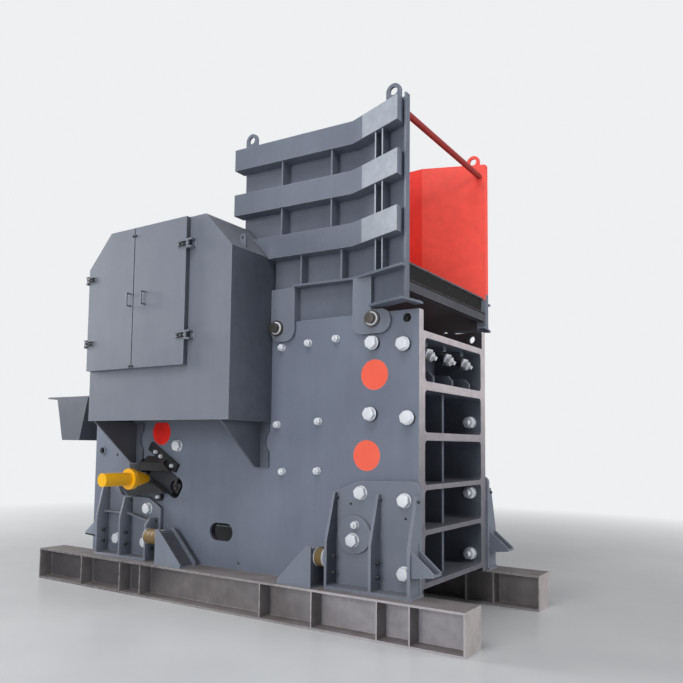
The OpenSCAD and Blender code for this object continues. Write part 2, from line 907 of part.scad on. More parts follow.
module rear_feet() {
    x0 = foot_rear_x0;
    x1 = foot_rear_x1;
    color("#6d7480")
        both_sides() {
            block([x0, -plate_out - foot_d - 30, foot_z], [x1, -plate_out - seat, foot_z + foot_t]);
            slab_xz(-plate_out - foot_back_t, -plate_out - seat)
                polygon([[x0 + 90, foot_z], [x1 - 54, foot_z], [x1 - 54, rear_foot_top - 105],
                    [x1 - 240, rear_foot_top], [x0 + 90, rear_foot_top]]);
            for (at = [144, 534, 939])
                foot_gusset(x0 + at, at > 900 ? 500 : rear_foot_top - skid_h - 4, 430);
            for (x = [x0 + 160, x0 + 550])
                block([x, -plate_out - 180, skid_h + 440],
                    [x + 380, -plate_out - foot_back_t + 1, skid_h + 462]);
            jack_bracket(x0 + 146, -1);
        }
}

module foot_discs() {
    color("#6d7480")
        both_sides() {
            rod_y(foot_front_x0 + 200, skid_h + 470, 170, -plate_out - foot_back_t - 28,
                -plate_out - foot_back_t - seat);
            hex_bolt_y(foot_front_x0 + 160, skid_h + 399, bolt_af, plate_out + foot_back_t + 28);
            hex_bolt_y(foot_front_x0 + 195, skid_h + 546, bolt_small_af, plate_out + foot_back_t + 28);
        }
}

// Stops welded on the beams, and the rubber buffers between them and the feet
stop_rear_x = foot_rear_x1 + 150;
stop_front_x = foot_front_x0 - 93;

module stop_plates(x, toward) {
    for (y = [-plate_out - 308, -plate_out - 88])
        slab_xz(y, y + 22)
            polygon([[x, foot_z], [x + toward * 375, foot_z], [x + toward * 375, foot_z + 40],
                [x + toward * 50, skid_h + stop_h], [x, skid_h + stop_h]]);
    slab_xz(-plate_out - 308, -plate_out - 66)
        polygon([[x, foot_z], [x + toward * 20, foot_z], [x + toward * 20, skid_h + stop_h - 20],
            [x, skid_h + stop_h - 20]]);
    slab_xz(-plate_out - 308, -plate_out - 66)
        polygon([[x + toward * 335, foot_z], [x + toward * 355, foot_z],
            [x + toward * 40, skid_h + stop_h - 40], [x + toward * 18, skid_h + stop_h - 40]]);
}

module skid_stops() {
    color("#6d7480")
        both_sides() {
            stop_plates(stop_rear_x, 1);
            stop_plates(stop_front_x, -1);
        }
}

module buffers() {
    y = -plate_out - 187;
    z = skid_h + 270;
    color("#82693c")
        both_sides() {
            rod_x(y, z, buffer_r, foot_rear_x0 + 939 + foot_t + seat, stop_rear_x - seat);
            rod_x(y, z, buffer_r, stop_front_x + seat, foot_front_x0 - seat);
        }
}

// Bolts on the side plates: share of the length, and share of the height or drop from the upper edge
frame_top_bolt_at = [[0.112, 272], [0.0352, 307]];
frame_bolt_at = [[0.1176, 0.6272], [0.0324, 0.612]];
foot_bolt_at = [[0.1387, 0.336], [0.0333, 0.3196], [0.0329, 0.0652]];
cheek_top_bolt_at = [[0.3537, 253], [0.2787, 230], [0.2051, 210]];
cheek_bolt_at = [[0.2505, 0.6024], [0.365, 0.5912], [0.3477, 0.406], [0.2514, 0.4136]];
rear_bolt_at = [0.6907, 0.5];
rear_foot_bolt_at = [[717, 543], [238, 165], [680, 178]];

module plate_bolts_near() {
    color("#c9cdd1") {
        for (at = frame_top_bolt_at)
            hex_bolt_y(plate_x(at[0]), plate_top - at[1], bolt_af, plate_out, 30);
        for (at = frame_bolt_at)
            hex_bolt_y(plate_x(at[0]), plate_z(at[1]), bolt_af, plate_out, 30);
        for (at = foot_bolt_at)
            hex_bolt_y(plate_x(at[0]), plate_z(at[1]), bolt_af, plate_out + foot_back_t);
        for (at = cheek_top_bolt_at)
            hex_bolt_y(plate_x(at[0]), plate_top - at[1], bolt_small_af, plate_out);
        for (at = cheek_bolt_at)
            hex_bolt_y(plate_x(at[0]), plate_z(at[1]), bolt_small_af, plate_out);
        hex_bolt_y(plate_x(rear_bolt_at[0]), plate_z(rear_bolt_at[1]), bolt_af, plate_out);
        for (at = rear_foot_bolt_at)
            hex_bolt_y(foot_rear_x0 + at[0], skid_h + at[1], bolt_af, plate_out + foot_back_t);
        for (x = wedge_bolt_x)
            hex_bolt_y(slot_x + x * cos(slot_lean) + (slot_h / 2 + 78) * sin(slot_lean),
                slot_z - x * sin(slot_lean) + (slot_h / 2 + 78) * cos(slot_lean), wedge_af,
                plate_out + strip_t);
        hex_bolt_y(tab_x, tab_z, wedge_af, plate_out + strip_t);
        hex_bolt_y(ram_x - 305, rear_foot_top - 32, wedge_af, plate_out + foot_back_t);
    }
}

module plate_bolts_far() {
    far_side()
        plate_bolts_near();
}

// Hopper walls: flared side walls with three box bands and stiffeners
band_z = [for (share = [0.3221, 0.5943, 0.8542]) hopper_foot + share * hopper_h];
band_rear_x = hopper_rear_x - 26;
band_front_x = hopper_front_x - 41;
hopper_len = hopper_front_x - hopper_rear_x;
flange_z = hopper_foot + 0.157 * hopper_h;
flange_t = 20;
flange_out = 124;
rib_in = 40;
function hopper_x(share) = hopper_rear_x + share * hopper_len;
upper_rib_at = [0.2745, 0.5594, 0.8309, 0.8762];
lower_rib_at = [0.3854, 0.6107, 0.826, 0.8697];
lug_at = [0.0219, 0.8901];
lug_r = 75;
lug_hole_r = 38;
lug_t = 25;

// Half width over the wall's outer face at a given x
function wall_y(x) = lookup(x, [[hopper_rear_x, hopper_rear_y], [hopper_kink_x, hopper_kink_y],
    [hopper_front_x, hopper_front_y]]);

// Wall line seen from above, shifted outward by d
function wall_line(d) = [[band_rear_x, -hopper_rear_y - d], [hopper_rear_x, -hopper_rear_y - d],
    [hopper_kink_x, -hopper_kink_y - d], [hopper_front_x, -hopper_front_y - d]];

module wall_strip(d0, d1, x0, x1) {
    far_line = wall_line(d1);
    reach = hopper_front_y + band_d + 100;
    intersection() {
        polygon(concat(wall_line(d0), [for (i = [3, 2, 1, 0]) far_line[i]]));
        translate([x0, -reach])
            square([x1 - x0, reach]);
    }
}

// What lies beside the guard is cut to clear it
module clear_of_guard() {
    difference() {
        children();
        slab_xz(-guard_front_y, -guard_y + air)
            guard_outline(-air);
    }
}

module band(z) {
    slab_xy(z, z + band_h)
        wall_strip(band_d - band_t, band_d, band_rear_x, band_front_x);
    for (low = [z, z + band_h - band_t])
        slab_xy(low, low + band_t)
            wall_strip(seat, band_d - 1, band_rear_x, band_front_x);
    for (x = [band_rear_x, band_front_x - band_t])
        slab_xy(z, z + band_h)
            wall_strip(seat, band_d - 1, x, x + band_t);
}

module lifting_lug(x) {
    z = band_z[2] + band_h;
    y = wall_y(x + lug_r) + 45;
    slab_xz(-y - lug_t, -y)
        difference() {
            union() {
                translate([x, z - 2])
                    square([2 * lug_r, 112]);
                translate([x + lug_r, z + 105])
                    circle(lug_r);
            }
            translate([x + lug_r, z + 110])
                circle(lug_hole_r);
        }
}

module hopper_bands() {
    color("#7b828e")
        both_sides() {
            clear_of_guard()
                for (z = band_z)
                    band(z);
            for (share = lug_at)
                lifting_lug(hopper_x(share));
        }
}

module hopper_ribs() {
    color("#7b828e")
        both_sides()
            clear_of_guard() {
                for (i = [0, 1], share = upper_rib_at)
                    slab_xy(band_z[i] + band_h + seat, band_z[i + 1] - seat)
                        wall_strip(seat, band_d - band_t - 1, hopper_x(share), hopper_x(share) + band_t);
                for (share = lower_rib_at)
                    slab_xy(flange_z + flange_t + seat, band_z[0] - seat)
                        wall_strip(seat, band_d - rib_in, hopper_x(share), hopper_x(share) + band_t);
            }
}

// Wall with its two flanges; behind the lower flange it reaches down to the side plate
wall_gap = 4;

module hopper_wall_near() {
    nose_x = hopper_front_x + 48;
    color("#7b828e")
        clear_of_guard() {
            slab_xy(hopper_foot, hopper_top)
                wall_strip(-hopper_t, 0, hopper_rear_x, hopper_front_x);
            slab_xy(plate_top + wall_gap, hopper_foot + 1)
                wall_strip(-hopper_t, 0, hopper_rear_x, hopper_x(0.79));
            slab_xy(flange_z, flange_z + flange_t)
                wall_strip(-2, flange_out, hopper_x(0.3456), hopper_front_x);
            slab_xy(hopper_foot, hopper_foot + flange_t) {
                wall_strip(-2, flange_out, hopper_x(0.7907), hopper_front_x);
                polygon([[hopper_front_x - 30, -hopper_front_y + 1],
                    [hopper_front_x - 1, -hopper_front_y - flange_out], [nose_x, -hopper_front_y + 120],
                    [nose_x, -hopper_front_y + 200], [hopper_front_x - 30, -hopper_front_y + 200]]);
            }
            slab_xy(hopper_foot, hopper_top)
                wall_strip(-2, 50, hopper_front_x - 20, hopper_front_x);
        }
}

module hopper_wall_far() {
    far_side()
        hopper_wall_near();
}

module hopper_rear_wall() {
    half = wall_y(hopper_rear_x + hopper_t) - hopper_t - seat;
    color("#7b828e")
        block([hopper_rear_x, -half, hopper_foot + 40], [hopper_rear_x + hopper_t, half, hopper_top]);
}

// Plan of the space between the walls, from x0 to x1
module between_walls(x0, x1) {
    a = wall_y(x0) - hopper_t - seat;
    b = wall_y(x1) - hopper_t - seat;
    polygon([[x0, -a], [x1, -b], [x1, b], [x0, a]]);
}

// Front sill: a bolted strip under a ledge, on a beam flush with the walls' front edges
sill_x = hopper_front_x - 70;

module hopper_sill() {
    color("#3b3f46") {
        slab_xy(hopper_foot + 100, hopper_foot + 198)
            between_walls(sill_x, hopper_front_x - 4);
        slab_xy(hopper_foot + 197, hopper_foot + 346)
            between_walls(sill_x, sill_x + 25);
        slab_xy(hopper_foot + 345, hopper_foot + 362)
            between_walls(sill_x - 25, sill_x + 50);
    }
}

tie_r = 30;

module hopper_tie_rod() {
    x = hopper_front_x - 25 - tie_r;
    half = wall_y(x - tie_r) - hopper_t - seat;
    color("#96322d")
        rod_y(x, hopper_top - 138, tie_r, -half, half);
}

// Ears that hang the hopper on pins in the side plates: rear edge, width, foot width, pin
ear_at = [[hopper_x(0.2064), 288, 288, hopper_x(0.2456)], [hopper_x(0.6847), 197, 396, hopper_x(0.7911)]];
ear_out = 38;
ear_web_t = 16;
ear_pin_r = 50;
ear_pin_z = plate_top - 60;

module hopper_ears() {
    color("#6d7480")
        both_sides()
            for (e = ear_at) {
                slab_xz(-plate_out - ear_out, -plate_out - seat)
                    difference() {
                        union() {
                            translate([e[0], ear_pin_z])
                                square([e[1], flange_z - seat - ear_pin_z]);
                            translate([e[0], plate_top - 195])
                                round_rect(e[2], 225, 110);
                        }
                        translate([e[3], ear_pin_z])
                            circle(ear_pin_r + seat);
                    }
                for (x = [e[0], e[0] + e[1] - ear_web_t])
                    slab_xy(plate_top + seat, flange_z - seat)
                        polygon([[x, -plate_out - 1], [x + ear_web_t, -plate_out - 1],
                            [x + ear_web_t, -wall_y(x + ear_web_t) - seat], [x, -wall_y(x) - seat]]);
            }
}

module hopper_pins() {
    color("#4a4d50")
        both_sides()
            for (e = ear_at) {
                rod_y(e[3], ear_pin_z, ear_pin_r, -plate_out - ear_out - 70, -plate_out);
                rod_y(e[3], ear_pin_z, 78, -plate_out - ear_out - 20, -plate_out - ear_out - seat);
            }
}

// Motor base: a trapezoid box with a flat top, on two arms from the rear frame
base_x0 = -skid_front_x;
base_len = 830;
base_top_z = plate_z(0.74);
base_foot_z = plate_z(0.5208);
base_sheet_t = 12;
base_top_t = 20;
base_at = [191, 802, 658, 320];
arm_y = [-420, 360];
arm_w = 60;
arm_h = 48;

module motor_base() {
    under = base_top_z - base_top_t;
    side = [[base_x0 + base_at[0], under], [base_x0 + base_at[1], under],
        [base_x0 + base_at[2], base_foot_z], [base_x0 + base_at[3], base_foot_z]];
    color("#6d7480") {
        for (y = [-plate_out, plate_out - base_sheet_t])
            slab_xz(y, y + base_sheet_t)
                polygon(side);
        block([base_x0, -plate_out, under], [base_x0 + base_len, plate_out, base_top_z]);
        slab_xz(-plate_out, plate_out)
            polygon([[side[2][0] - 28, base_foot_z], side[2], side[1] + [0, 2], side[1] + [-28, 2]]);
        block([side[3][0], -plate_out, base_foot_z], [side[2][0], plate_out, base_foot_z + base_sheet_t]);
        for (y = arm_y)
            block([side[2][0] + 2, y, rear_z1 - arm_h - 1], [rear_x0 - seat, y + arm_w, rear_z1 - 1]);
    }
}

skid_near();
skid_far();
side_plate_near();
side_plate_far();
front_frame();
rear_frame();
fixed_jaw_die();
jaw_clamps();
pitman();
swing_jaw_die();
cheek_plates();
eccentric_shaft();
bearing_housings();
flywheel_near();
flywheel_far();
toggle_plate();
toggle_block();
tension_rod();
wedge_cylinders();
wedge_brackets();
guard_shell_near();
guard_shell_far();
guard_door_rear();
guard_door_front();
guard_doors_far();
guard_brackets();
front_feet();
rear_feet();
foot_discs();
skid_stops();
buffers();
pin_discs();
plate_bolts_near();
plate_bolts_far();
hopper_wall_near();
hopper_wall_far();
hopper_bands();
hopper_ribs();
hopper_rear_wall();
hopper_sill();
hopper_tie_rod();
hopper_ears();
hopper_pins();
motor_base();
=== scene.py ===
"""Looks of a primary jaw crusher on two skid beams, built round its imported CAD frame."""

from __future__ import annotations

import json
import logging
import math
from collections.abc import Callable, Iterable, Sequence
from dataclasses import dataclass, field
from enum import Enum
from typing import Any, Protocol

import bmesh
import bpy
from mathutils import Matrix, Vector

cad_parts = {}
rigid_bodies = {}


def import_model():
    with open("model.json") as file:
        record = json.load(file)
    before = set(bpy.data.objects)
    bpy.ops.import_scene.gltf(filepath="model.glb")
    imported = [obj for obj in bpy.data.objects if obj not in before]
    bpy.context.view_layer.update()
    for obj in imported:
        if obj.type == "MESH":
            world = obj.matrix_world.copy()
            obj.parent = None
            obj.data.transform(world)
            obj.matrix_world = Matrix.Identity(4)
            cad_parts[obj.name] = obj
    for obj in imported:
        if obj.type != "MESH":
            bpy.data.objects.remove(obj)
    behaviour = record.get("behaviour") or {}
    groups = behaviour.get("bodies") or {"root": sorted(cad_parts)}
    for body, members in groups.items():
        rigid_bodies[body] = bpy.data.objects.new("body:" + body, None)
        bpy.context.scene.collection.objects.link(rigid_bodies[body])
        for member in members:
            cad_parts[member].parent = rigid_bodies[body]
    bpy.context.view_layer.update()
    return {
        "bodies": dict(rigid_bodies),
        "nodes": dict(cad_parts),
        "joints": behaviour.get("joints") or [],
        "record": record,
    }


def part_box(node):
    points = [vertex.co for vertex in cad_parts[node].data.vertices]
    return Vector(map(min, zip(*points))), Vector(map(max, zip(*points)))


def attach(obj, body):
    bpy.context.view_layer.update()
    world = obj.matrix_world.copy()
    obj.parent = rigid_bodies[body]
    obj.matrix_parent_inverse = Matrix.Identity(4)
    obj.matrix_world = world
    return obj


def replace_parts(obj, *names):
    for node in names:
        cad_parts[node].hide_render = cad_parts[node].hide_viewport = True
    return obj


LOG = logging.getLogger("crusher")
PHOTO_SIDE = 683
# Distance of the side plates' outer face from the middle plane
PLATE_Y = 0.792
# Corner and washer radius of a fastener, as shares of its width across flats
HEX_CORNER = 0.5774
WASHER = 0.62

Rgb = tuple[int, int, int]
Triple = tuple[float, float, float]
Limit = tuple[str, float, float]
Points = tuple[tuple[float, float], ...]


def linear(colour: Rgb) -> tuple[float, float, float, float]:
    """Turn an 8-bit display colour into the linear one that a shader takes.

    Args:
        colour: Red, green and blue from 0 to 255.

    Returns:
        Red, green, blue and alpha 1, linear.
    """
    parts = [c / 255 for c in colour]
    return (*(p / 12.92 if p <= 0.04045 else ((p + 0.055) / 1.055) ** 2.4 for p in parts), 1.0)


def linked(name: str, data: Any) -> bpy.types.Object:
    """Make an object at the origin and link it to the scene.

    Args:
        name: The object's name.
        data: Its mesh, lamp or camera.

    Returns:
        The object.
    """
    obj = bpy.data.objects.new(name, data)
    bpy.context.scene.collection.objects.link(obj)
    return obj


# Node trees


class Wiring:
    """Adds nodes to one node tree and joins them."""

    def __init__(self, tree: bpy.types.NodeTree) -> None:
        """Keep the tree that the calls fill."""
        self.tree = tree

    def feed(self, socket: bpy.types.NodeSocket, value: Any) -> None:
        """Link a socket to another one, or set its value.

        Args:
            socket: The input that is fed.
            value: An output socket, or a plain value.
        """
        if isinstance(value, bpy.types.NodeSocket):
            self.tree.links.new(value, socket)
        else:
            socket.default_value = value

    def add(self, kind: str, feeds: dict[Any, Any] | None = None, **props: Any) -> bpy.types.Node:
        """Add one node.

        Args:
            kind: The node's type name.
            feeds: What goes into its inputs, by name or number.
            **props: Properties of the node itself.

        Returns:
            The new node.
        """
        node = self.tree.nodes.new(kind)
        for name, value in props.items():
            setattr(node, name, value)
        for name, value in (feeds or {}).items():
            self.feed(node.inputs[name], value)
        return node

    def maths(self, operation: str, a: Any, b: Any = 0.0, clamp: bool = False) -> bpy.types.NodeSocket:
        """Return the result of a Math node on a and b."""
        return self.add("ShaderNodeMath", {0: a, 1: b}, operation=operation, use_clamp=clamp).outputs[0]

    def ranged(self, value: Any, low: float, high: float, out: tuple[float, float] = (0.0, 1.0)) -> Any:
        """Return value taken from low..high to the range out, and held there."""
        feeds = {"Value": value, "From Min": low, "From Max": high, "To Min": out[0], "To Max": out[1]}
        return self.add("ShaderNodeMapRange", feeds, clamp=True).outputs["Result"]

    def mixed(self, share: Any, a: Any, b: Any, blend: str = "MIX") -> bpy.types.NodeSocket:
        """Mix two colours.

        Args:
            share: The second colour's share.
            a: The first colour.
            b: The second colour.
            blend: How they are mixed.

        Returns:
            The mixed colour's socket.
        """
        node = self.add("ShaderNodeMix", data_type="RGBA", blend_type=blend)
        for number, value in ((0, share), (6, a), (7, b)):
            self.feed(node.inputs[number], value)
        return node.outputs[2]

    def noise(self, place: Any, scale: Any, detail: float = 4.0,
              rough: float = 0.55) -> bpy.types.NodeSocket:
        """Return a noise value at a place."""
        feeds = {"Vector": place, "Scale": scale, "Detail": detail, "Roughness": rough}
        return self.add("ShaderNodeTexNoise", feeds).outputs[0]

    def place(self, stretch: Triple = (1, 1, 1)) -> bpy.types.NodeSocket:
        """Give Object coordinates.

        Args:
            stretch: What each axis is multiplied by.

        Returns:
            The coordinates' socket.
        """
        here = self.add("ShaderNodeTexCoord").outputs["Object"]
        if stretch == (1, 1, 1):
            return here
        return self.add("ShaderNodeMapping", {"Vector": here, "Scale": stretch}).outputs[0]

    def held(self, value: Any) -> bpy.types.NodeSocket:
        """Return a value held between 0 and 1."""
        return self.maths("MINIMUM", self.maths("MAXIMUM", value, 0.0), 1.0)

    def dot(self, a: Any, b: Any) -> bpy.types.NodeSocket:
        """Return the dot product of two vectors."""
        return self.add("ShaderNodeVectorMath", {0: a, 1: b}, operation="DOT_PRODUCT").outputs["Value"]


def fresh_wiring(owner: bpy.types.Material | bpy.types.World) -> Wiring:
    """Empty a material's or world's node tree.

    Args:
        owner: The material or world.

    Returns:
        The wiring of its tree.
    """
    owner.use_nodes = True
    owner.node_tree.nodes.clear()
    return Wiring(owner.node_tree)


def shader_group(name: str, inputs: dict[str, float], outputs: Sequence[str],
                 fill: Callable[[Wiring, dict[str, Any]], dict[str, Any]]) -> bpy.types.NodeTree:
    """Build a shader node group once.

    Args:
        name: The group's name.
        inputs: Its number inputs and their defaults.
        outputs: Its outputs, all numbers.
        fill: Adds the nodes; gets the wiring and the inputs, returns the outputs' sources.

    Returns:
        The group's tree.
    """
    tree = bpy.data.node_groups.new(name, "ShaderNodeTree")
    for socket, default in inputs.items():
        made = tree.interface.new_socket(socket, in_out="INPUT", socket_type="NodeSocketFloat")
        made.default_value = default
    for socket in outputs:
        tree.interface.new_socket(socket, in_out="OUTPUT", socket_type="NodeSocketFloat")
    wires = Wiring(tree)
    given = wires.add("NodeGroupInput")
    sources = fill(wires, {socket: given.outputs[socket] for socket in inputs})
    wires.add("NodeGroupOutput", sources)
    return tree


def edge_wear(wires: Wiring, given: dict[str, Any]) -> dict[str, Any]:
    """Fill the group that marks worn edges.

    Args:
        wires: The group's wiring.
        given: Its inputs by name.

    Returns:
        The source of each output by name.
    """
    rounded = wires.add("ShaderNodeBevel", {"Radius": given["Radius"]}, samples=4).outputs["Normal"]
    flat = wires.add("ShaderNodeNewGeometry").outputs["Normal"]
    bend = wires.maths("SUBTRACT", 1.0, wires.dot(rounded, flat))
    sharp = wires.ranged(bend, 0.015, 0.16)
    chips = wires.noise(wires.place(), given["Breakup"], 5.0, 0.7)
    kept = wires.ranged(chips, 0.32, 0.62)
    mask = wires.maths("MULTIPLY", wires.maths("MULTIPLY", sharp, kept), given["Amount"], clamp=True)
    return {"Mask": mask}


def settled_dust(wires: Wiring, given: dict[str, Any]) -> dict[str, Any]:
    """Fill the group that marks faces that look up with dust, which also stands in for a painted warm
    reflection from above.

    Args:
        wires: The group's wiring.
        given: Its inputs by name.

    Returns:
        The source of each output by name.
    """
    normal = wires.add("ShaderNodeNewGeometry").outputs["Normal"]
    up = wires.ranged(wires.dot(normal, (0.0, 0.0, 1.0)), 0.25, 0.95)
    patchy = wires.ranged(wires.noise(wires.place(), given["Scale"], 6.0, 0.65), 0.3, 0.75, (0.55, 1.0))
    mask = wires.maths("MULTIPLY", wires.maths("MULTIPLY", up, patchy), given["Amount"], clamp=True)
    return {"Mask": mask}


def mottling(wires: Wiring, given: dict[str, Any]) -> dict[str, Any]:
    """Fill the group for cloudy colour, soft vertical runs and fine scuffs.

    Args:
        wires: The group's wiring.
        given: Its inputs by name.

    Returns:
        The source of each output by name.
    """
    cloud = wires.noise(wires.place(), given["Scale"], 5.0, 0.6)
    runs = wires.noise(wires.place((1.0, 1.0, 0.12)), 7.0, 3.0, 0.5)
    cloudy = wires.maths("ADD", wires.maths("MULTIPLY", cloud, 0.7), wires.maths("MULTIPLY", runs, 0.3))
    scuffs = wires.noise(wires.place((1.0, 1.0, 0.22)), 46.0, 8.0, 0.75)
    return {"Cloud": wires.ranged(cloudy, 0.36, 0.64), "Scuff": wires.ranged(scuffs, 0.6, 0.72)}


class Grain(Enum):
    """Which surface a finish has."""

    SPRAYED = "sprayed"
    CAST = "cast"
    ROLLED = "rolled"
    MACHINED = "machined"
    MOULDED = "moulded"


@dataclass(frozen=True)
class Coat:
    """A second coat on faces that look one way, within limits along the axes.

    A sloping lower limit is given by over: the share of X added to Z, and the least sum.
    With a fade the coat comes in slowly over that length.
    """

    colour: Rgb
    way: Triple | None = None
    least: float = 0.5
    rough: float = 0.6
    within: tuple[Limit, ...] = ()
    over: tuple[float, float] | None = None
    fade: float = 0.0
    cloud: float = 0.88

    def share(self, wires: Wiring) -> Any:
        """Find where the coat lies.

        Args:
            wires: The material's wiring.

        Returns:
            A socket that gives 1 where the coat lies and 0 elsewhere.
        """
        share: Any = 1.0
        if self.way:
            normal = wires.add("ShaderNodeNewGeometry").outputs["True Normal"]
            share = wires.maths("GREATER_THAN", wires.dot(normal, self.way), self.least)
        split = wires.add("ShaderNodeSeparateXYZ", {0: wires.place()})
        if self.over:
            slope, least = self.over
            level = wires.maths("ADD", split.outputs["Z"],
                                wires.maths("MULTIPLY", split.outputs["X"], slope))
            if self.fade:
                part = wires.maths("MULTIPLY", wires.maths("SUBTRACT", level, least), 1.0 / self.fade)
                part = wires.held(part)
                part = wires.maths("MULTIPLY", part, part)
            else:
                part = wires.maths("GREATER_THAN", level, least)
            share = wires.maths("MULTIPLY", share, part)
        for axis, low, high in self.within:
            above = wires.maths("GREATER_THAN", split.outputs[axis], low)
            below = wires.maths("LESS_THAN", split.outputs[axis], high)
            share = wires.maths("MULTIPLY", share, wires.maths("MULTIPLY", above, below))
        return share


@dataclass(frozen=True)
class Finish:
    """One finish of the machine, made as a node material."""

    name: str
    colour: Rgb
    cloud: Rgb
    worn: Rgb
    grain: Grain = Grain.SPRAYED
    rough: float = 0.5
    metal: float = 0.0
    wear: float = 0.5
    radius: float = 0.009
    # Amount and colour of dust on faces that look up, also a painted warm reflection there
    dust_sheen: float = 0.35
    dust_sheen_colour: Rgb = (128, 120, 118)
    scuff: float = 0.12
    bump: float = 0.35
    coat: float = 0.0
    gloss: float = 0.4
    coats: tuple[Coat, ...] = ()

    def height(self, wires: Wiring) -> tuple[Any, float]:
        """Add the surface's relief.

        Args:
            wires: The material's wiring.

        Returns:
            The height's socket and its depth in metres.
        """
        if self.grain is Grain.CAST:
            lumps = wires.noise(wires.place(), 60.0, 6.0, 0.7)
            waves = wires.noise(wires.place(), 6.0, 2.0, 0.5)
            return wires.maths("ADD", lumps, wires.maths("MULTIPLY", waves, 3.0)), 0.0035
        if self.grain is Grain.ROLLED:
            return wires.noise(wires.place((0.35, 1.0, 1.0)), 34.0, 7.0, 0.72), 0.0016
        if self.grain is Grain.MACHINED:
            return wires.noise(wires.place(), 180.0, 3.0, 0.6), 0.0004
        if self.grain is Grain.MOULDED:
            return wires.noise(wires.place(), 90.0, 4.0, 0.6), 0.0010
        peel = wires.noise(wires.place(), 150.0, 2.0, 0.4)
        sheet = wires.noise(wires.place(), 2.2, 2.0, 0.5)
        waves = wires.maths("MULTIPLY", sheet, 4.0)
        return wires.maths("ADD", wires.maths("MULTIPLY", peel, 0.25), waves), 0.0022

    def build(self, groups: dict[str, bpy.types.NodeTree]) -> bpy.types.Material:
        """Build the material.

        Args:
            groups: The shared shader groups by name.

        Returns:
            The material.
        """
        material = bpy.data.materials.new(self.name)
        wires = fresh_wiring(material)
        mottle = wires.add("ShaderNodeGroup", node_tree=groups["mottling"])
        mottle.inputs["Scale"].default_value = 1.7 if self.grain is Grain.SPRAYED else 5.0
        edges = wires.add("ShaderNodeGroup", node_tree=groups["edge_wear"])
        edges.inputs["Radius"].default_value = self.radius
        edges.inputs["Amount"].default_value = self.wear
        # Dust on faces that look up, partly a painted warm reflection
        dust_sheen = wires.add("ShaderNodeGroup", node_tree=groups["settled_dust"])
        dust_sheen.inputs["Amount"].default_value = self.dust_sheen
        colour = wires.mixed(mottle.outputs["Cloud"], linear(self.colour), linear(self.cloud))
        rough: Any = wires.ranged(mottle.outputs["Cloud"], 0, 1, (self.rough - 0.05, self.rough + 0.07))
        scuffed = wires.maths("MULTIPLY", mottle.outputs["Scuff"], self.scuff)
        colour = wires.mixed(scuffed, colour, linear(self.worn))
        for coat in self.coats:
            share = coat.share(wires)
            second = wires.noise(wires.place(), 9.0, 6.0, 0.65)
            shade = wires.mixed(wires.ranged(second, 0.3, 0.7), linear(coat.colour),
                                linear(tuple(int(c * coat.cloud) for c in coat.colour)))
            colour = wires.mixed(share, colour, shade)
            rough = wires.add("ShaderNodeMix", {0: share, 2: rough, 3: coat.rough}).outputs[0]
        colour = wires.mixed(edges.outputs["Mask"], colour, linear(self.worn))
        colour = wires.mixed(dust_sheen.outputs["Mask"], colour, linear(self.dust_sheen_colour))
        rough = wires.maths("ADD", rough, wires.maths("MULTIPLY", dust_sheen.outputs["Mask"], 0.25), clamp=True)
        relief, depth = self.height(wires)
        bump = wires.add("ShaderNodeBump", {"Height": relief, "Distance": depth, "Strength": self.bump})
        shader = wires.add("ShaderNodeBsdfPrincipled", {
            "Base Color": colour, "Roughness": rough, "Metallic": self.metal,
            "Specular IOR Level": self.gloss, "Coat Weight": self.coat, "Coat Roughness": 0.12,
            "Normal": bump.outputs["Normal"]})
        wires.add("ShaderNodeOutputMaterial", {"Surface": shader.outputs[0]})
        return material


# Geometry trees


def geometry_tree(name: str, inputs: dict[str, tuple[str, Any]],
                  fill: Callable[[Wiring, bpy.types.Node], Any]) -> bpy.types.NodeTree:
    """Build a geometry node tree that changes one geometry.

    Args:
        name: The tree's name.
        inputs: Socket type and default of each input after the geometry.
        fill: Adds the nodes; gets the wiring and the input node, returns the result's socket.

    Returns:
        The tree.
    """
    tree = bpy.data.node_groups.new(name, "GeometryNodeTree")
    tree.interface.new_socket("Geometry", in_out="INPUT", socket_type="NodeSocketGeometry")
    for socket, (kind, default) in inputs.items():
        made = tree.interface.new_socket(socket, in_out="INPUT", socket_type=kind)
        if default is not None:
            made.default_value = default
    tree.interface.new_socket("Geometry", in_out="OUTPUT", socket_type="NodeSocketGeometry")
    wires = Wiring(tree)
    given = wires.add("NodeGroupInput")
    wires.add("NodeGroupOutput", {0: fill(wires, given)})
    return tree


def apply_tree(obj: bpy.types.Object, tree: bpy.types.NodeTree, values: dict[str, Any]) -> None:
    """Put a geometry tree on an object as a modifier.

    Args:
        obj: The object.
        tree: The tree.
        values: The modifier's inputs by name; each is set by its socket's identifier.
    """
    modifier = obj.modifiers.new(tree.name, "NODES")
    modifier.node_group = tree
    for item in tree.interface.items_tree:
        if item.item_type == "SOCKET" and item.in_out == "INPUT" and item.name in values:
            modifier[item.identifier] = values[item.name]


def softened(wires: Wiring, given: bpy.types.Node) -> Any:
    """Fill the tree that joins loose faces and keeps only sharp edges hard.

    Args:
        wires: The tree's wiring.
        given: Its input node.

    Returns:
        The resulting geometry's socket.
    """
    merged = wires.add("GeometryNodeMergeByDistance", {"Geometry": given.outputs["Geometry"],
                                                       "Distance": given.outputs["Merge"]})
    smooth = wires.add("GeometryNodeSetShadeSmooth", {"Geometry": merged.outputs[0], "Shade Smooth": True})
    angle = wires.add("GeometryNodeInputMeshEdgeAngle").outputs["Unsigned Angle"]
    hard = wires.add("FunctionNodeCompare", {0: angle, 1: given.outputs["Angle"]},
                     data_type="FLOAT", operation="GREATER_THAN")
    return wires.add("GeometryNodeSetShadeSmooth", {
        "Geometry": smooth.outputs[0], "Selection": hard.outputs[0], "Shade Smooth": False},
        domain="EDGE").outputs[0]


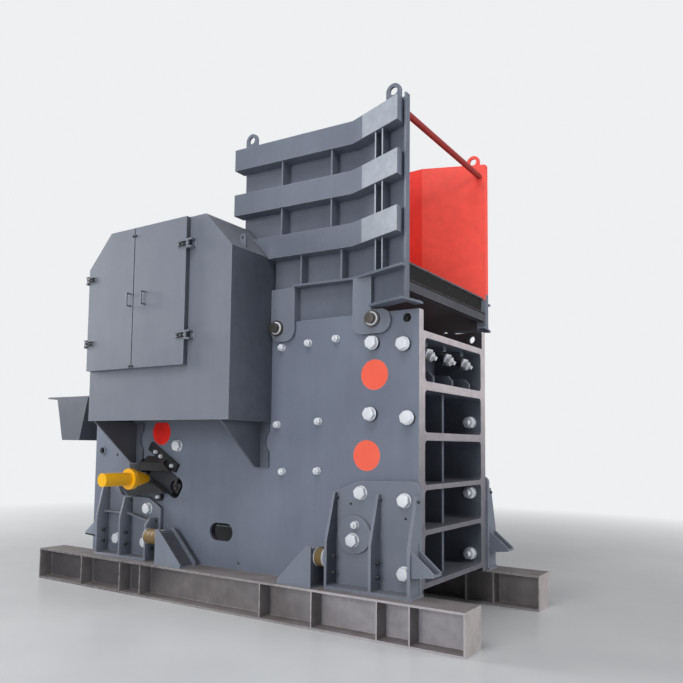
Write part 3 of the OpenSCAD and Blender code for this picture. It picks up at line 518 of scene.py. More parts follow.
def placed_copies(wires: Wiring, given: bpy.types.Node) -> Any:
    """Fill the tree that sets a shape on every point, turned and sized by the points' own values.

    Args:
        wires: The tree's wiring.
        given: Its input node.

    Returns:
        The resulting geometry's socket.
    """
    shape = wires.add("GeometryNodeObjectInfo", {"Object": given.outputs["Shape"]})
    turn = wires.add("GeometryNodeInputNamedAttribute", {"Name": "turn"}, data_type="FLOAT_VECTOR")
    size = wires.add("GeometryNodeInputNamedAttribute", {"Name": "size"}, data_type="FLOAT_VECTOR")
    spin = wires.add("FunctionNodeRandomValue", {"Min": 0.0, "Max": math.tau, "Seed": given.outputs["Seed"]},
                     data_type="FLOAT")
    own = wires.add("ShaderNodeCombineXYZ", {"Z": spin.outputs["Value"]})
    placed = wires.add("GeometryNodeInstanceOnPoints", {
        "Points": given.outputs["Geometry"], "Instance": shape.outputs["Geometry"],
        "Rotation": turn.outputs["Attribute"], "Scale": size.outputs["Attribute"]})
    turned = wires.add("GeometryNodeRotateInstances", {
        "Instances": placed.outputs[0], "Rotation": own.outputs[0], "Local Space": True})
    real = wires.add("GeometryNodeRealizeInstances", {"Geometry": turned.outputs[0]})
    return wires.add("GeometryNodeSetMaterial", {"Geometry": real.outputs[0],
                                                 "Material": given.outputs["Material"]}).outputs[0]


def beaded(wires: Wiring, given: bpy.types.Node) -> Any:
    """Fill the tree that lays a rippled bead along the edges of a line mesh.

    Args:
        wires: The tree's wiring.
        given: Its input node.

    Returns:
        The resulting geometry's socket.
    """
    curve = wires.add("GeometryNodeMeshToCurve", {0: given.outputs["Geometry"]})
    fine = wires.add("GeometryNodeResampleCurve", {"Curve": curve.outputs[0],
                                                   "Length": given.outputs["Step"]}, mode="LENGTH")
    profile = wires.add("GeometryNodeCurvePrimitiveCircle", {"Resolution": 6,
                                                             "Radius": given.outputs["Radius"]})
    ripple = wires.add("ShaderNodeTexNoise", {"Scale": given.outputs["Ripple"], "Detail": 1.0})
    wide = wires.ranged(ripple.outputs[0], 0.3, 0.7, (0.72, 1.25))
    fine_wide = wires.add("GeometryNodeSetCurveRadius", {"Curve": fine.outputs[0], "Radius": wide})
    swept = wires.add("GeometryNodeCurveToMesh", {"Curve": fine_wide.outputs[0],
                                                  "Profile Curve": profile.outputs[0], "Fill Caps": True})
    real = wires.add("GeometryNodeRealizeInstances", {"Geometry": swept.outputs[0]})
    return wires.add("GeometryNodeSetMaterial", {"Geometry": real.outputs[0],
                                                 "Material": given.outputs["Material"]}).outputs[0]


# Meshes


@dataclass(frozen=True)
class Extent:
    """The box round one solid, in metres."""

    low: Vector
    high: Vector

    @property
    def middle(self) -> Vector:
        """Return the box's middle."""
        return (self.low + self.high) / 2

    @property
    def size(self) -> Vector:
        """Return the box's three sides."""
        return self.high - self.low


def solids_of(node: bpy.types.Object) -> list[Extent]:
    """Find the boxes of the separate solids in a CAD node.

    Args:
        node: The node's object.

    Returns:
        One box for each solid, in the order of the mesh.
    """
    work = bmesh.new()
    work.from_mesh(node.data)
    bmesh.ops.remove_doubles(work, verts=work.verts, dist=1e-5)
    work.verts.ensure_lookup_table()
    seen: set[int] = set()
    found: list[Extent] = []
    for start in work.verts:
        if start.index in seen:
            continue
        seen.add(start.index)
        todo, points = [start], []
        while todo:
            vert = todo.pop()
            points.append(vert.co.copy())
            for edge in vert.link_edges:
                other = edge.other_vert(vert)
                if other.index not in seen:
                    seen.add(other.index)
                    todo.append(other)
        found.append(Extent(Vector(min(p[i] for p in points) for i in range(3)),
                            Vector(max(p[i] for p in points) for i in range(3))))
    work.free()
    return found


def object_from(name: str, work: bmesh.types.BMesh, smooth_under: float | None = None) -> bpy.types.Object:
    """Make an object from a bmesh, at the origin, with its faces outwards.

    Args:
        name: The object's name.
        work: The bmesh; it is freed.
        smooth_under: Edges flatter than this angle are shaded smooth.

    Returns:
        The object, linked to the scene.
    """
    bmesh.ops.remove_doubles(work, verts=work.verts, dist=2e-6)
    bmesh.ops.recalc_face_normals(work, faces=work.faces)
    if smooth_under is not None:
        for face in work.faces:
            face.smooth = True
        for edge in work.edges:
            edge.smooth = len(edge.link_faces) == 2 and edge.calc_face_angle() < smooth_under
    mesh = bpy.data.meshes.new(name)
    work.to_mesh(mesh)
    work.free()
    return linked(name, mesh)


def drop(obj: bpy.types.Object) -> None:
    """Remove a helper object and its mesh.

    Args:
        obj: The object.
    """
    mesh = obj.data
    bpy.data.objects.remove(obj)
    if mesh and mesh.users == 0:
        bpy.data.meshes.remove(mesh)


def baked(name: str, holder: bpy.types.Object) -> bpy.types.Object:
    """Turn an object with modifiers into one with a plain mesh.

    Args:
        name: The new object's name.
        holder: The object that carries the modifiers; it is removed.

    Returns:
        The plain object.
    """
    graph = bpy.context.evaluated_depsgraph_get()
    mesh = bpy.data.meshes.new_from_object(holder.evaluated_get(graph), depsgraph=graph)
    mesh.name = name
    obj = linked(name, mesh)
    holder.modifiers.clear()
    drop(holder)
    return obj


def ring(work: bmesh.types.BMesh, points: Iterable[Sequence[float]]) -> list[bmesh.types.BMVert]:
    """Add one loop of vertices and return it."""
    return [work.verts.new(p) for p in points]


def bridge(work: bmesh.types.BMesh, a: list[bmesh.types.BMVert], b: list[bmesh.types.BMVert]) -> None:
    """Join two loops of the same length with quads.

    Args:
        work: The bmesh that gets the faces.
        a: The first loop.
        b: The second loop.
    """
    count = len(a)
    for i in range(count):
        work.faces.new((a[i], a[(i + 1) % count], b[(i + 1) % count], b[i]))


def turned(work: bmesh.types.BMesh, profile: Sequence[tuple[float, float]], steps: int = 24,
           radius: Callable[[float, float], float] | None = None, at: Matrix | None = None) -> None:
    """Add a closed shape of rings round the Z axis.

    Args:
        work: The bmesh that gets it.
        profile: Radius and height of each ring, from below to above.
        steps: Points round each ring.
        radius: Changes a ring's radius with the angle, for a hexagon.
        at: Where the shape goes.
    """
    at = at or Matrix.Identity(4)
    loops = []
    for r, z in profile:
        points = []
        for i in range(steps):
            angle = math.tau * i / steps
            wide = radius(r, angle) if radius else r
            points.append(at @ Vector((wide * math.cos(angle), wide * math.sin(angle), z)))
        loops.append(ring(work, points))
    for a, b in zip(loops, loops[1:]):
        bridge(work, a, b)
    work.faces.new(list(reversed(loops[0])))
    work.faces.new(loops[-1])


def merge(work: bmesh.types.BMesh, own: bmesh.types.BMesh) -> None:
    """Move one bmesh into another.

    Args:
        work: The bmesh that gets it.
        own: The bmesh that is moved; it is freed.
    """
    spare = bpy.data.meshes.new("spare")
    own.to_mesh(spare)
    own.free()
    work.from_mesh(spare)
    bpy.data.meshes.remove(spare)


def slab(work: bmesh.types.BMesh, outline: Sequence[Vector], depth: Vector, bevel: float = 0.0) -> None:
    """Add a flat plate from its outline.

    Args:
        work: The bmesh that gets it.
        outline: The corners of one face, in order.
        depth: The way from that face to the other.
        bevel: Width of the edge bevel.
    """
    own = bmesh.new()
    a = ring(own, outline)
    b = ring(own, [Vector(p) + depth for p in outline])
    own.faces.new(list(reversed(a)))
    own.faces.new(b)
    bridge(own, a, b)
    if bevel:
        bmesh.ops.bevel(own, geom=own.edges[:], offset=bevel, segments=2, affect="EDGES", profile=0.5,
                        clamp_overlap=True)
    merge(work, own)


def cuboid(work: bmesh.types.BMesh, low: Sequence[float], high: Sequence[float], bevel: float = 0.0) -> None:
    """Add a block between two corners.

    Args:
        work: The bmesh that gets it.
        low: The lowest corner.
        high: The highest corner.
        bevel: Width of the edge bevel.
    """
    (x0, y0, z0), (x1, y1, z1) = low, high
    slab(work, [Vector(p) for p in ((x0, y0, z0), (x1, y0, z0), (x1, y1, z0), (x0, y1, z0))],
         Vector((0, 0, z1 - z0)), bevel)


TOWARDS = {"-y": Matrix.Rotation(math.pi / 2, 4, "X"), "+y": Matrix.Rotation(-math.pi / 2, 4, "X"),
           "+x": Matrix.Rotation(math.pi / 2, 4, "Y"), "-x": Matrix.Rotation(-math.pi / 2, 4, "Y"),
           "+z": Matrix.Identity(4)}


def facing(place: Sequence[float], towards: str) -> Matrix:
    """Return the matrix that puts a turned shape at a place, its axis towards one side."""
    return Matrix.Translation(place) @ TOWARDS[towards]


# The workshop


@dataclass
class Workshop:
    """What every sub-assembly needs: the frame, the materials and the shared trees."""

    frame: dict[str, Any]
    materials: dict[str, bpy.types.Material] = field(default_factory=dict)
    trees: dict[str, bpy.types.NodeTree] = field(default_factory=dict)
    groups: dict[str, bpy.types.NodeTree] = field(default_factory=dict)
    count: int = 0
    merge: float = 2e-5
    crease: float = 0.6

    def prepare(self, finishes: Iterable[Finish]) -> None:
        """Build the shared groups, the geometry trees and one material for each finish.

        Args:
            finishes: The machine's finishes.
        """
        self.groups["edge_wear"] = shader_group(
            "edge_wear", {"Radius": 0.01, "Amount": 0.5, "Breakup": 22.0}, ["Mask"], edge_wear)
        self.groups["settled_dust"] = shader_group(
            "settled_dust", {"Amount": 0.4, "Scale": 5.0}, ["Mask"], settled_dust)
        self.groups["mottling"] = shader_group("mottling", {"Scale": 2.0}, ["Cloud", "Scuff"], mottling)
        self.trees["soft_edges"] = geometry_tree(
            "soft_edges", {"Merge": ("NodeSocketFloat", self.merge),
                           "Angle": ("NodeSocketFloat", self.crease)}, softened)
        self.trees["placed_copies"] = geometry_tree("placed_copies", {
            "Shape": ("NodeSocketObject", None), "Material": ("NodeSocketMaterial", None),
            "Seed": ("NodeSocketInt", 7)}, placed_copies)
        self.trees["weld_bead"] = geometry_tree("weld_bead", {
            "Radius": ("NodeSocketFloat", 0.006), "Step": ("NodeSocketFloat", 0.02),
            "Ripple": ("NodeSocketFloat", 60.0), "Material": ("NodeSocketMaterial", None)}, beaded)
        for finish in finishes:
            self.materials[finish.name] = finish.build(self.groups)

    def node(self, name: str) -> bpy.types.Object:
        """Return a CAD node's object."""
        return self.frame["nodes"][name]

    def dress(self, node: str, finish: str) -> None:
        """Give a CAD node its finish and joined, softly shaded faces.

        Args:
            node: The node's name.
            finish: The finish's name.
        """
        obj = self.node(node)
        obj.data.materials.clear()
        obj.data.materials.append(self.materials[finish])
        apply_tree(obj, self.trees["soft_edges"], {"Merge": self.merge, "Angle": self.crease})
        LOG.info("dressed %s in %s", node, finish)

    def keep(self, obj: bpy.types.Object, finish: str, body: str = "frame") -> bpy.types.Object:
        """Finish a new piece and let it ride on a body.

        Args:
            obj: The piece, at the origin.
            finish: Its finish.
            body: The CAD body that carries it.

        Returns:
            The piece.
        """
        obj.data.materials.clear()
        obj.data.materials.append(self.materials[finish])
        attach(obj, body)
        self.count += 1
        LOG.info("built %s: %d faces on %s", obj.name, len(obj.data.polygons), body)
        return obj

    def scatter(self, name: str, shape: bpy.types.Object, spots: Sequence[tuple[Matrix, float]],
                finish: str) -> bpy.types.Object:
        """Place copies of a shape by a geometry node tree.

        Args:
            name: The resulting piece's name.
            shape: The shape, whose axis is +Z; it is kept.
            spots: Where each copy goes and its scale.
            finish: The copies' finish.

        Returns:
            One plain object with all the copies.
        """
        mesh = bpy.data.meshes.new(name + "_points")
        mesh.from_pydata([m.translation for m, _ in spots], [], [])
        turn = mesh.attributes.new("turn", "FLOAT_VECTOR", "POINT")
        size = mesh.attributes.new("size", "FLOAT_VECTOR", "POINT")
        for i, (matrix, scale) in enumerate(spots):
            turn.data[i].vector = matrix.to_euler("XYZ")
            size.data[i].vector = (scale,) * 3
        holder = linked(name + "_points", mesh)
        apply_tree(holder, self.trees["placed_copies"], {
            "Shape": shape, "Material": self.materials[finish], "Seed": 11})
        return baked(name, holder)

    def weld(self, name: str, runs: Sequence[Sequence[Sequence[float]]], body: str = "frame",
             radius: float = 0.006) -> bpy.types.Object:
        """Lay weld beads along runs of points.

        Args:
            name: The piece's name.
            runs: Each run's points.
            body: The body that carries them.
            radius: The beads' radius.

        Returns:
            The piece.
        """
        places: list[Sequence[float]] = []
        edges: list[tuple[int, int]] = []
        for run in runs:
            start = len(places)
            places += list(run)
            edges += [(start + i, start + i + 1) for i in range(len(run) - 1)]
        mesh = bpy.data.meshes.new(name + "_line")
        mesh.from_pydata(places, edges, [])
        holder = linked(name + "_line", mesh)
        apply_tree(holder, self.trees["weld_bead"], {
            "Radius": radius, "Step": 0.02, "Material": self.materials["paint_bead"]})
        return self.keep(baked(name, holder), "paint_bead", body)


# Finishes

# A limit past every face of the machine
ANY = 9.0
BODY = (121, 127, 140)
# Light primer tone of the front faces, made lighter as a painted highlight
PRIMER_AND_HIGHLIGHT = (200, 192, 195)
LINER = (255, 84, 70)
# Darker red towards the hopper's rear: painted shade
LINER_SHADED = (250, 50, 37)
LINER_EDGE = (0.45, 4.165)
# Near black on the lower inner faces of the hopper: painted shade
CHUTE_SHADE = (44, 44, 48)
FRONT = (1.0, 0.0, 0.0)
FARWARD = (0.0, 1.0, 0.0)
NEARWARD = (0.0, -1.0, 0.0)
HOPPER = ((109, 115, 129), (98, 104, 118), (172, 177, 186))
# Painted highlight: the flared front wings of the hopper bands lighter, as a sheen
WING_SHEEN = Coat((160, 166, 177), (-1.0, 0.0, 0.0), 0.0, 0.46, (("Y", -ANY, -0.9), ("X", 0.9, ANY)))


def liner(way: Triple) -> tuple[Coat, ...]:
    """Return the coats of a hopper wall's inner face: near black below as painted shade, red above, and a
    darker red towards the rear as painted shade.
    """
    return (Coat(CHUTE_SHADE, way, 0.5, 0.6), Coat(LINER, way, 0.5, 0.48, over=LINER_EDGE, cloud=0.94),
            Coat(LINER_SHADED, way, 0.5, 0.48, (("X", -ANY, 1.7),), LINER_EDGE, cloud=0.94))


# Front faces: darker low down and a light primer fading in towards the top; the primer is real, its
# lightness and the upward fade are painted light
PRIMED_AND_LIT = (Coat((108, 108, 117), FRONT, 0.6, 0.6, (("X", 2.36, ANY),)),
          Coat(PRIMER_AND_HIGHLIGHT, FRONT, 0.6, 0.6, (("X", 2.36, ANY),), (0.0, 0.43), 1.73))

FINISHES = (
    Finish("body_paint", BODY, (111, 117, 131), (176, 180, 188), radius=0.014,
           # Painted shade: the front faces of the front feet and their gussets darker
           coats=(Coat((84, 89, 100), FRONT, 0.8, 0.6, (("X", 1.4, 1.7), ("Z", 0.37, 2.0))),
                  # Painted shade: the sloped faces of the low stops darker
                  Coat((80, 85, 97), (0.75, 0.0, 0.66), 0.9, 0.6, (("X", -1.4, 1.4), ("Z", 0.36, 0.95))),
                  # Painted shadow: near-black inner faces at the top of the far side, under the hopper
                  Coat((18, 18, 20), NEARWARD, 0.5, 0.9, (("Y", 0.7, 0.83), ("Z", 2.7, 3.0))))),
    Finish("plate_paint", (117, 124, 140), (107, 114, 130), (172, 176, 184), wear=0.35, radius=0.014,
           # Painted shade: the side plates dark inward of 0.76 m from the middle, on inner faces and in
           # holes
           coats=(Coat((48, 50, 57), None, within=(("Y", -0.76, 0.76),), rough=0.7),
                  *PRIMED_AND_LIT)),
    Finish("guard_paint", (118, 123, 135), (109, 114, 127), (174, 178, 186), rough=0.46, wear=0.35,
           # Painted shade: the guards' front faces darker
           radius=0.012, dust_sheen=0.45, coats=(Coat((86, 91, 103), FRONT, 0.8, 0.5),)),
    Finish("hopper_paint", *HOPPER, rough=0.5, wear=0.5, scuff=0.2, radius=0.012,
           coats=(WING_SHEEN,
                  Coat(LINER, None, within=(("Z", 4.73, ANY), ("Y", 0.0, ANY)), rough=0.48, cloud=0.94),
                  Coat(LINER, FARWARD, 0.5, 0.48, (("Z", 4.73, ANY),), cloud=0.94))),
    Finish("hopper_near", *HOPPER, rough=0.5, wear=0.5, scuff=0.2, coats=liner(FARWARD)),
    Finish("hopper_far", *HOPPER, rough=0.5, wear=0.3, scuff=0.2,
           coats=(*liner(NEARWARD),
                  Coat(HOPPER[0], NEARWARD, 0.5, 0.5, (("X", 2.26, ANY), ("Z", 0.0, 3.236))),
                  Coat(LINER, FRONT, 0.5, 0.48, (("Z", 3.30, ANY),), cloud=0.94),
                  # Painted shade: faces looking down near the hopper's foot darker
                  Coat((66, 70, 80), (0.0, 0.0, -1.0), 0.5, 0.95, (("Z", 2.7, 3.4),)),
                  Coat(LINER, (0.0, 0.0, 1.0), 0.5, 0.48, (("Z", 4.6, ANY),), cloud=0.94))),
    Finish("hopper_rear", *HOPPER, rough=0.5, wear=0.5, scuff=0.2, coats=liner(FRONT)),
    Finish("paint_bead", (114, 120, 133), (102, 108, 121), (170, 174, 182), rough=0.5, dust_sheen=0.3),
    Finish("casting_paint", (98, 104, 116), (86, 92, 104), (178, 172, 173), Grain.CAST, rough=0.55,
           wear=0.5, radius=0.014, bump=0.5, coats=PRIMED_AND_LIT),
    # Body paint darkened for the guard brackets and motor base: painted shade under the guards
    Finish("bracket_paint", (92, 97, 108), (82, 87, 98), (160, 163, 170), wear=0.4, radius=0.012),
    # Dark paint of the inner parts, collars and gusset bolts, darkened as painted shade inside the hatch,
    # behind bolt heads and on the feet
    Finish("dark_paint", (54, 58, 66), (44, 48, 55), (126, 128, 132), rough=0.5, wear=0.4),
    Finish("clamp_paint", (54, 58, 66), (44, 48, 55), (126, 128, 132), rough=0.5, wear=0.4,
           coats=(Coat((226, 229, 234), None, within=(("X", 2.285, ANY),), rough=0.3),)),
    Finish("wedge_paint", (38, 40, 45), (26, 28, 32), (120, 122, 124), rough=0.38, wear=0.45, scuff=0.3),
    Finish("sill_paint", (72, 74, 81), (62, 64, 70), (168, 150, 150), rough=0.6, wear=0.6,
           radius=0.014, dust_sheen=0.05, scuff=0.1,
           coats=(Coat((10, 10, 12), FRONT, 0.5, 0.8, (("Z", 3.07, 3.24),)),)),
    Finish("tie_red", (158, 48, 44), (138, 42, 40), (190, 96, 88), rough=0.38, dust_sheen=0.15),
    Finish("disc_orange", (255, 110, 84), (250, 98, 74), (230, 120, 96), rough=0.5, wear=0.15, dust_sheen=0.1,
           scuff=0.05, coats=(Coat((252, 38, 30), None, within=(("X", -ANY, 0.0),), rough=0.45),)),
    Finish("ram_yellow", (255, 194, 4), (250, 180, 2), (255, 214, 90), rough=0.3, wear=0.3, dust_sheen=0.08,
           scuff=0.08, gloss=0.5, coat=0.4),
    Finish("mill_steel", (140, 136, 138), (118, 113, 114), (196, 190, 188), Grain.ROLLED, rough=0.55,
           metal=0.15, wear=0.9, radius=0.018, dust_sheen=0.45, dust_sheen_colour=(130, 120, 116), scuff=0.35, bump=0.5,
           # Painted light and shade on the near skid's side: darker towards the rear, lighter towards the
           # front
           coats=(Coat((96, 92, 96), NEARWARD, 0.5, 0.6, (("Y", -ANY, -0.5),), (-1.0, 0.2), 0.7),
                  Coat((180, 176, 182), NEARWARD, 0.5, 0.6, (("Y", -ANY, -0.5),), (1.0, 1.0), 0.9),
                  # Painted highlight: the skids' front end faces lighter
                  Coat((184, 177, 175), FRONT, 0.6, 0.6, (("X", 2.90, ANY),)))),
    Finish("jaw_casting", (92, 92, 94), (70, 70, 73), (160, 160, 162), Grain.CAST, rough=0.5, metal=0.6,
           wear=0.6, scuff=0.3, bump=0.6),
    Finish("shaft_steel", (150, 152, 156), (134, 136, 140), (200, 202, 205), Grain.MACHINED, rough=0.3,
           metal=0.9, wear=0.4, dust_sheen=0.1),
    Finish("zinc", (232, 236, 242), (216, 220, 227), (248, 250, 252), Grain.MACHINED, rough=0.3,
           metal=0.0, wear=0.5, radius=0.004, dust_sheen=0.1, scuff=0.12, gloss=0.5),
    Finish("pin_steel", (104, 98, 94), (82, 77, 74), (170, 166, 162), Grain.MACHINED, rough=0.34,
           metal=0.7, wear=0.5, radius=0.005, dust_sheen=0.1, scuff=0.3),
    # Black steel of hinges, latches and screw heads, also painted shade for holes drawn as dark discs
    Finish("black_steel", (34, 35, 38), (24, 25, 28), (96, 98, 102), Grain.CAST, rough=0.42, metal=0.3,
           wear=0.5, radius=0.004, dust_sheen=0.15, bump=0.2),
    Finish("buffer_rubber", (128, 106, 66), (104, 84, 48), (156, 134, 92), Grain.MOULDED, rough=0.5,
           wear=0.3, dust_sheen=0.2, scuff=0.2),
)


NODE_FINISH = {
    "plate_paint": ["side_plate_near", "side_plate_far"],
    "body_paint": ["front_feet", "rear_feet", "foot_discs", "skid_stops", "hopper_ears"],
    "bracket_paint": ["guard_brackets", "motor_base"],
    "guard_paint": ["guard_shell_near", "guard_shell_far", "guard_door_rear", "guard_door_front",
                    "guard_doors_far"],
    "casting_paint": ["front_frame"],
    "dark_paint": ["rear_frame", "pitman", "bearing_housings", "flywheel_near", "flywheel_far",
                   "toggle_block"],
    "clamp_paint": ["jaw_clamps"],
    "jaw_casting": ["fixed_jaw_die", "swing_jaw_die", "cheek_plates", "toggle_plate"],
    "shaft_steel": ["eccentric_shaft", "tension_rod"],
    "wedge_paint": ["wedge_brackets"],
    "ram_yellow": ["wedge_cylinders"],
    "mill_steel": ["skid_near", "skid_far"],
    "buffer_rubber": ["buffers"],
    "disc_orange": ["pin_discs"],
    "zinc": ["plate_bolts_near", "plate_bolts_far"],
    "hopper_paint": ["hopper_bands", "hopper_ribs"],
    "hopper_near": ["hopper_wall_near"],
    "hopper_far": ["hopper_wall_far"],
    "hopper_rear": ["hopper_rear_wall"],
    "sill_paint": ["hopper_sill"],
    "tie_red": ["hopper_tie_rod"],
    "pin_steel": ["hopper_pins"],
}


# Studio


@dataclass
class Studio:
    """Camera, soft lamps and a pale floor."""

    eye: Vector = field(default_factory=lambda: Vector((5.0793, -6.3328, 1.6368)))
    right: Vector = field(default_factory=lambda: Vector((0.82942, 0.55849, 0.01255)))
    above: Vector = field(default_factory=lambda: Vector((0.03193, -0.06982, 0.99705)))
    focal: float = 698.434
    centre: tuple[float, float] = (320.856, 391.409)
    sensor: float = 36.0
    ambient: float = 0.15
    backdrop: Triple = (0.86, 0.87, 0.88)
    floor_clear: float = 5.0
    floor_fade: float = 130.0
    floor_side: float = 30.0
    mouth_power: float = 1180.0
    # Name, place, target, side and power of each square lamp
    lamps: tuple[tuple[str, Triple, Triple, float, float], ...] = (
        ("window", (-15.0, -3.5, 6.5), (0.0, -0.5, 2.2), 6.0, 1900.0),
        ("front", (1.5, -17.0, 5.0), (0.4, -0.8, 1.8), 8.0, 1120.0),
        ("hall", (16.0, 2.5, 5.5), (2.0, 0.0, 2.4), 7.0, 1180.0),
        ("roof", (2.5, -7.0, 12.5), (0.8, 0.0, 2.0), 7.0, 620.0))

    def camera(self) -> None:
        """Set the camera where the photograph was taken from."""
        data = bpy.data.cameras.new("camera")
        data.sensor_width = self.sensor
        data.lens = self.focal / PHOTO_SIDE * self.sensor
        data.shift_x = (PHOTO_SIDE / 2 - self.centre[0]) / PHOTO_SIDE
        data.shift_y = (self.centre[1] - PHOTO_SIDE / 2) / PHOTO_SIDE
        data.clip_end = 200.0
        obj = linked("camera", data)
        back = self.right.cross(self.above)
        turn = Matrix((self.right, self.above, back)).transposed().to_4x4()
        obj.matrix_world = Matrix.Translation(self.eye) @ turn
        bpy.context.scene.camera = obj

    def lamp(self, name: str, kind: str, place: Triple, target: Triple, **own: Any) -> None:
        """Add one lamp that looks at a target.

        Args:
            name: The lamp's name.
            kind: AREA or SPOT.
            place: Where it stands.
            target: What it looks at.
            **own: Values of the kind's properties.
        """
        data = bpy.data.lights.new(name, kind)
        for prop, value in own.items():
            setattr(data, prop, value)
        obj = linked(name, data)
        obj.location = place
        obj.rotation_mode = "QUATERNION"
        obj.rotation_quaternion = (Vector(target) - Vector(place)).to_track_quat("-Z", "Y")

    def lights(self) -> None:
        """Add the lamps and the world."""
        for name, place, target, size, power in self.lamps:
            self.lamp(name, "AREA", place, target, shape="SQUARE", size=size, energy=power)
        self.lamp("mouth", "SPOT", (8.5, -3.2, 7.2), (1.7, 0.5, 4.1), spot_size=math.radians(20.0),
                  spot_blend=0.8, shadow_soft_size=1.6, energy=self.mouth_power)
        world = bpy.data.worlds.new("world")
        bpy.context.scene.world = world
        wires = fresh_wiring(world)
        path = wires.add("ShaderNodeLightPath")
        seen = wires.maths("MAXIMUM", path.outputs["Is Camera Ray"], path.outputs["Is Transmission Ray"])
        plain = wires.add("ShaderNodeBackground", {"Color": (0.9, 0.93, 1.0, 1.0), "Strength": self.ambient})
        pale = wires.add("ShaderNodeBackground", {"Color": (*self.backdrop, 1.0), "Strength": 1.0})
        mirror = wires.add("ShaderNodeBackground", {"Color": (*self.backdrop, 1.0), "Strength": 0.4})
        glossy = wires.add("ShaderNodeMixShader", {0: path.outputs["Is Glossy Ray"], 1: plain.outputs[0],
                                                   2: mirror.outputs[0]})
        both = wires.add("ShaderNodeMixShader", {0: seen, 1: glossy.outputs[0], 2: pale.outputs[0]})
        wires.add("ShaderNodeOutputWorld", {"Surface": both.outputs[0]})

    def floor(self) -> None:
        """Lay a pale, slightly polished floor."""
        work = bmesh.new()
        side = self.floor_side
        work.faces.new(ring(work, [(-side, -side, -0.001), (side, -side, -0.001), (side, side, -0.001),
                                   (-side, side, -0.001)]))
        obj = object_from("floor", work)
        for face in obj.data.polygons:
            if face.normal.z < 0:
                obj.data.flip_normals()
                break
        material = bpy.data.materials.new("pale_floor")
        wires = fresh_wiring(material)
        cloud = wires.noise(wires.place(), 0.8, 4.0, 0.5)
        colour = wires.mixed(wires.ranged(cloud, 0.35, 0.65), linear((214, 216, 217)),
                             linear((206, 208, 210)))
        shader = wires.add("ShaderNodeBsdfPrincipled", {"Base Color": colour, "Roughness": 0.28,
                                                        "Specular IOR Level": 0.35})
        away = wires.maths("SUBTRACT", wires.dot(wires.place(), wires.place()), self.floor_clear ** 2)
        away = wires.held(wires.maths("DIVIDE", away, self.floor_fade))
        seen = wires.add("ShaderNodeLightPath").outputs["Is Camera Ray"]
        pale = wires.add("ShaderNodeEmission", {"Color": (*self.backdrop, 1.0), "Strength": 1.0})
        far = wires.maths("MULTIPLY", away, seen)
        both = wires.add("ShaderNodeMixShader", {0: far, 1: shader.outputs[0], 2: pale.outputs[0]})
        wires.add("ShaderNodeOutputMaterial", {"Surface": both.outputs[0]})
        obj.data.materials.append(material)

    def build(self) -> None:
        """Set up the whole studio."""
        bpy.context.scene.view_settings.view_transform = "Standard"
        self.camera()
        self.lights()
        self.floor()


# Sub-assemblies


class Part(Protocol):
    """What the class of every sub-assembly does."""

    def build(self, shop: Workshop) -> None:
        """Build the pieces and give them to the workshop."""


class Side(Enum):
    """Which side of the machine a piece is on."""

    NEAR = -1
    FAR = 1

    @property
    def outward(self) -> str:
        """Return the outward way as a key of TOWARDS."""
        return "-y" if self is Side.NEAR else "+y"

    @property
    def label(self) -> str:
        """Return the side's name in lower case."""
        return self.name.lower()


def hexagon(radius: float, angle: float) -> float:
    """Return the reach of a hexagon whose across-flats half is radius, at an angle."""
    third = math.pi / 3
    return radius / math.cos((angle % third) - third / 2)


@dataclass
class HexHead:
    """A hexagon head or nut with a chamfered face, for a width across flats of 1."""

    height: float = 0.62
    flat: float = 0.475
    chamfer: float = 0.06
    corner: float = 0.015
    steps: int = 24

    def add(self, work: bmesh.types.BMesh, at: Matrix, stud: float = 0.0) -> None:
        """Add the head to a mesh.

        Args:
            work: The bmesh that gets it.
            at: The matrix of its seat, its axis along +Z.
            stud: How far a threaded end stands out of it.
        """
        cone = self.chamfer / (HEX_CORNER - self.flat)

        def reach(share: float) -> Callable[[float, float], float]:
            """Return the rule that cuts rings wider than share to the hexagon."""
            return lambda r, a: min(hexagon(0.5, a), r) if r > share else r

        rings = [(HEX_CORNER, 0.0), (HEX_CORNER, self.height - self.chamfer),
                 (0.525, self.height - (0.525 - self.flat) * cone),
                 (0.49, self.height - (0.49 - self.flat) * cone * 0.8),
                 (self.flat, self.height), (self.flat * 0.5, self.height + self.corner)]
        turned(work, rings, self.steps, reach(0.48), at)
        if stud:
            self.thread(work, at @ Matrix.Translation((0, 0, self.height)), 0.3, stud)

    def thread(self, work: bmesh.types.BMesh, at: Matrix, radius: float, length: float) -> None:
        """Add a threaded end with a chamfered tip.

        Args:
            work: The bmesh that gets it.
            at: The matrix of its foot.
            radius: Its radius.
            length: Its length.
        """
        rings, pitch = [], 0.07
        turns = max(2, int(length / pitch) - 1)
        for i in range(turns):
            rings += [(radius * 0.9, i * pitch), (radius, (i + 0.5) * pitch)]
        rings += [(radius * 0.9, turns * pitch), (radius * 0.72, length)]
        turned(work, rings, 18, None, at)


# Where the fasteners' feet are seen on the real plates, X and Z, and the one CAD bolt that shows nowhere
SEEN_BOLTS = (
    (1.920, 2.570), (2.237, 2.540), (1.903, 1.918), (2.279, 1.881), (1.827, 1.205), (2.267, 1.159),
    (2.267, 0.531), (0.872, 2.597), (1.193, 2.620), (1.516, 2.640), (1.322, 1.856), (0.827, 1.828),
    (0.901, 1.365), (1.316, 1.384), (-0.553, 1.604), (-0.943, 0.897), (-1.437, 0.527), (-0.965, 0.523),
    (1.774, 0.829),
)
UNSEEN_BOLT = (-1.239, 0.986)


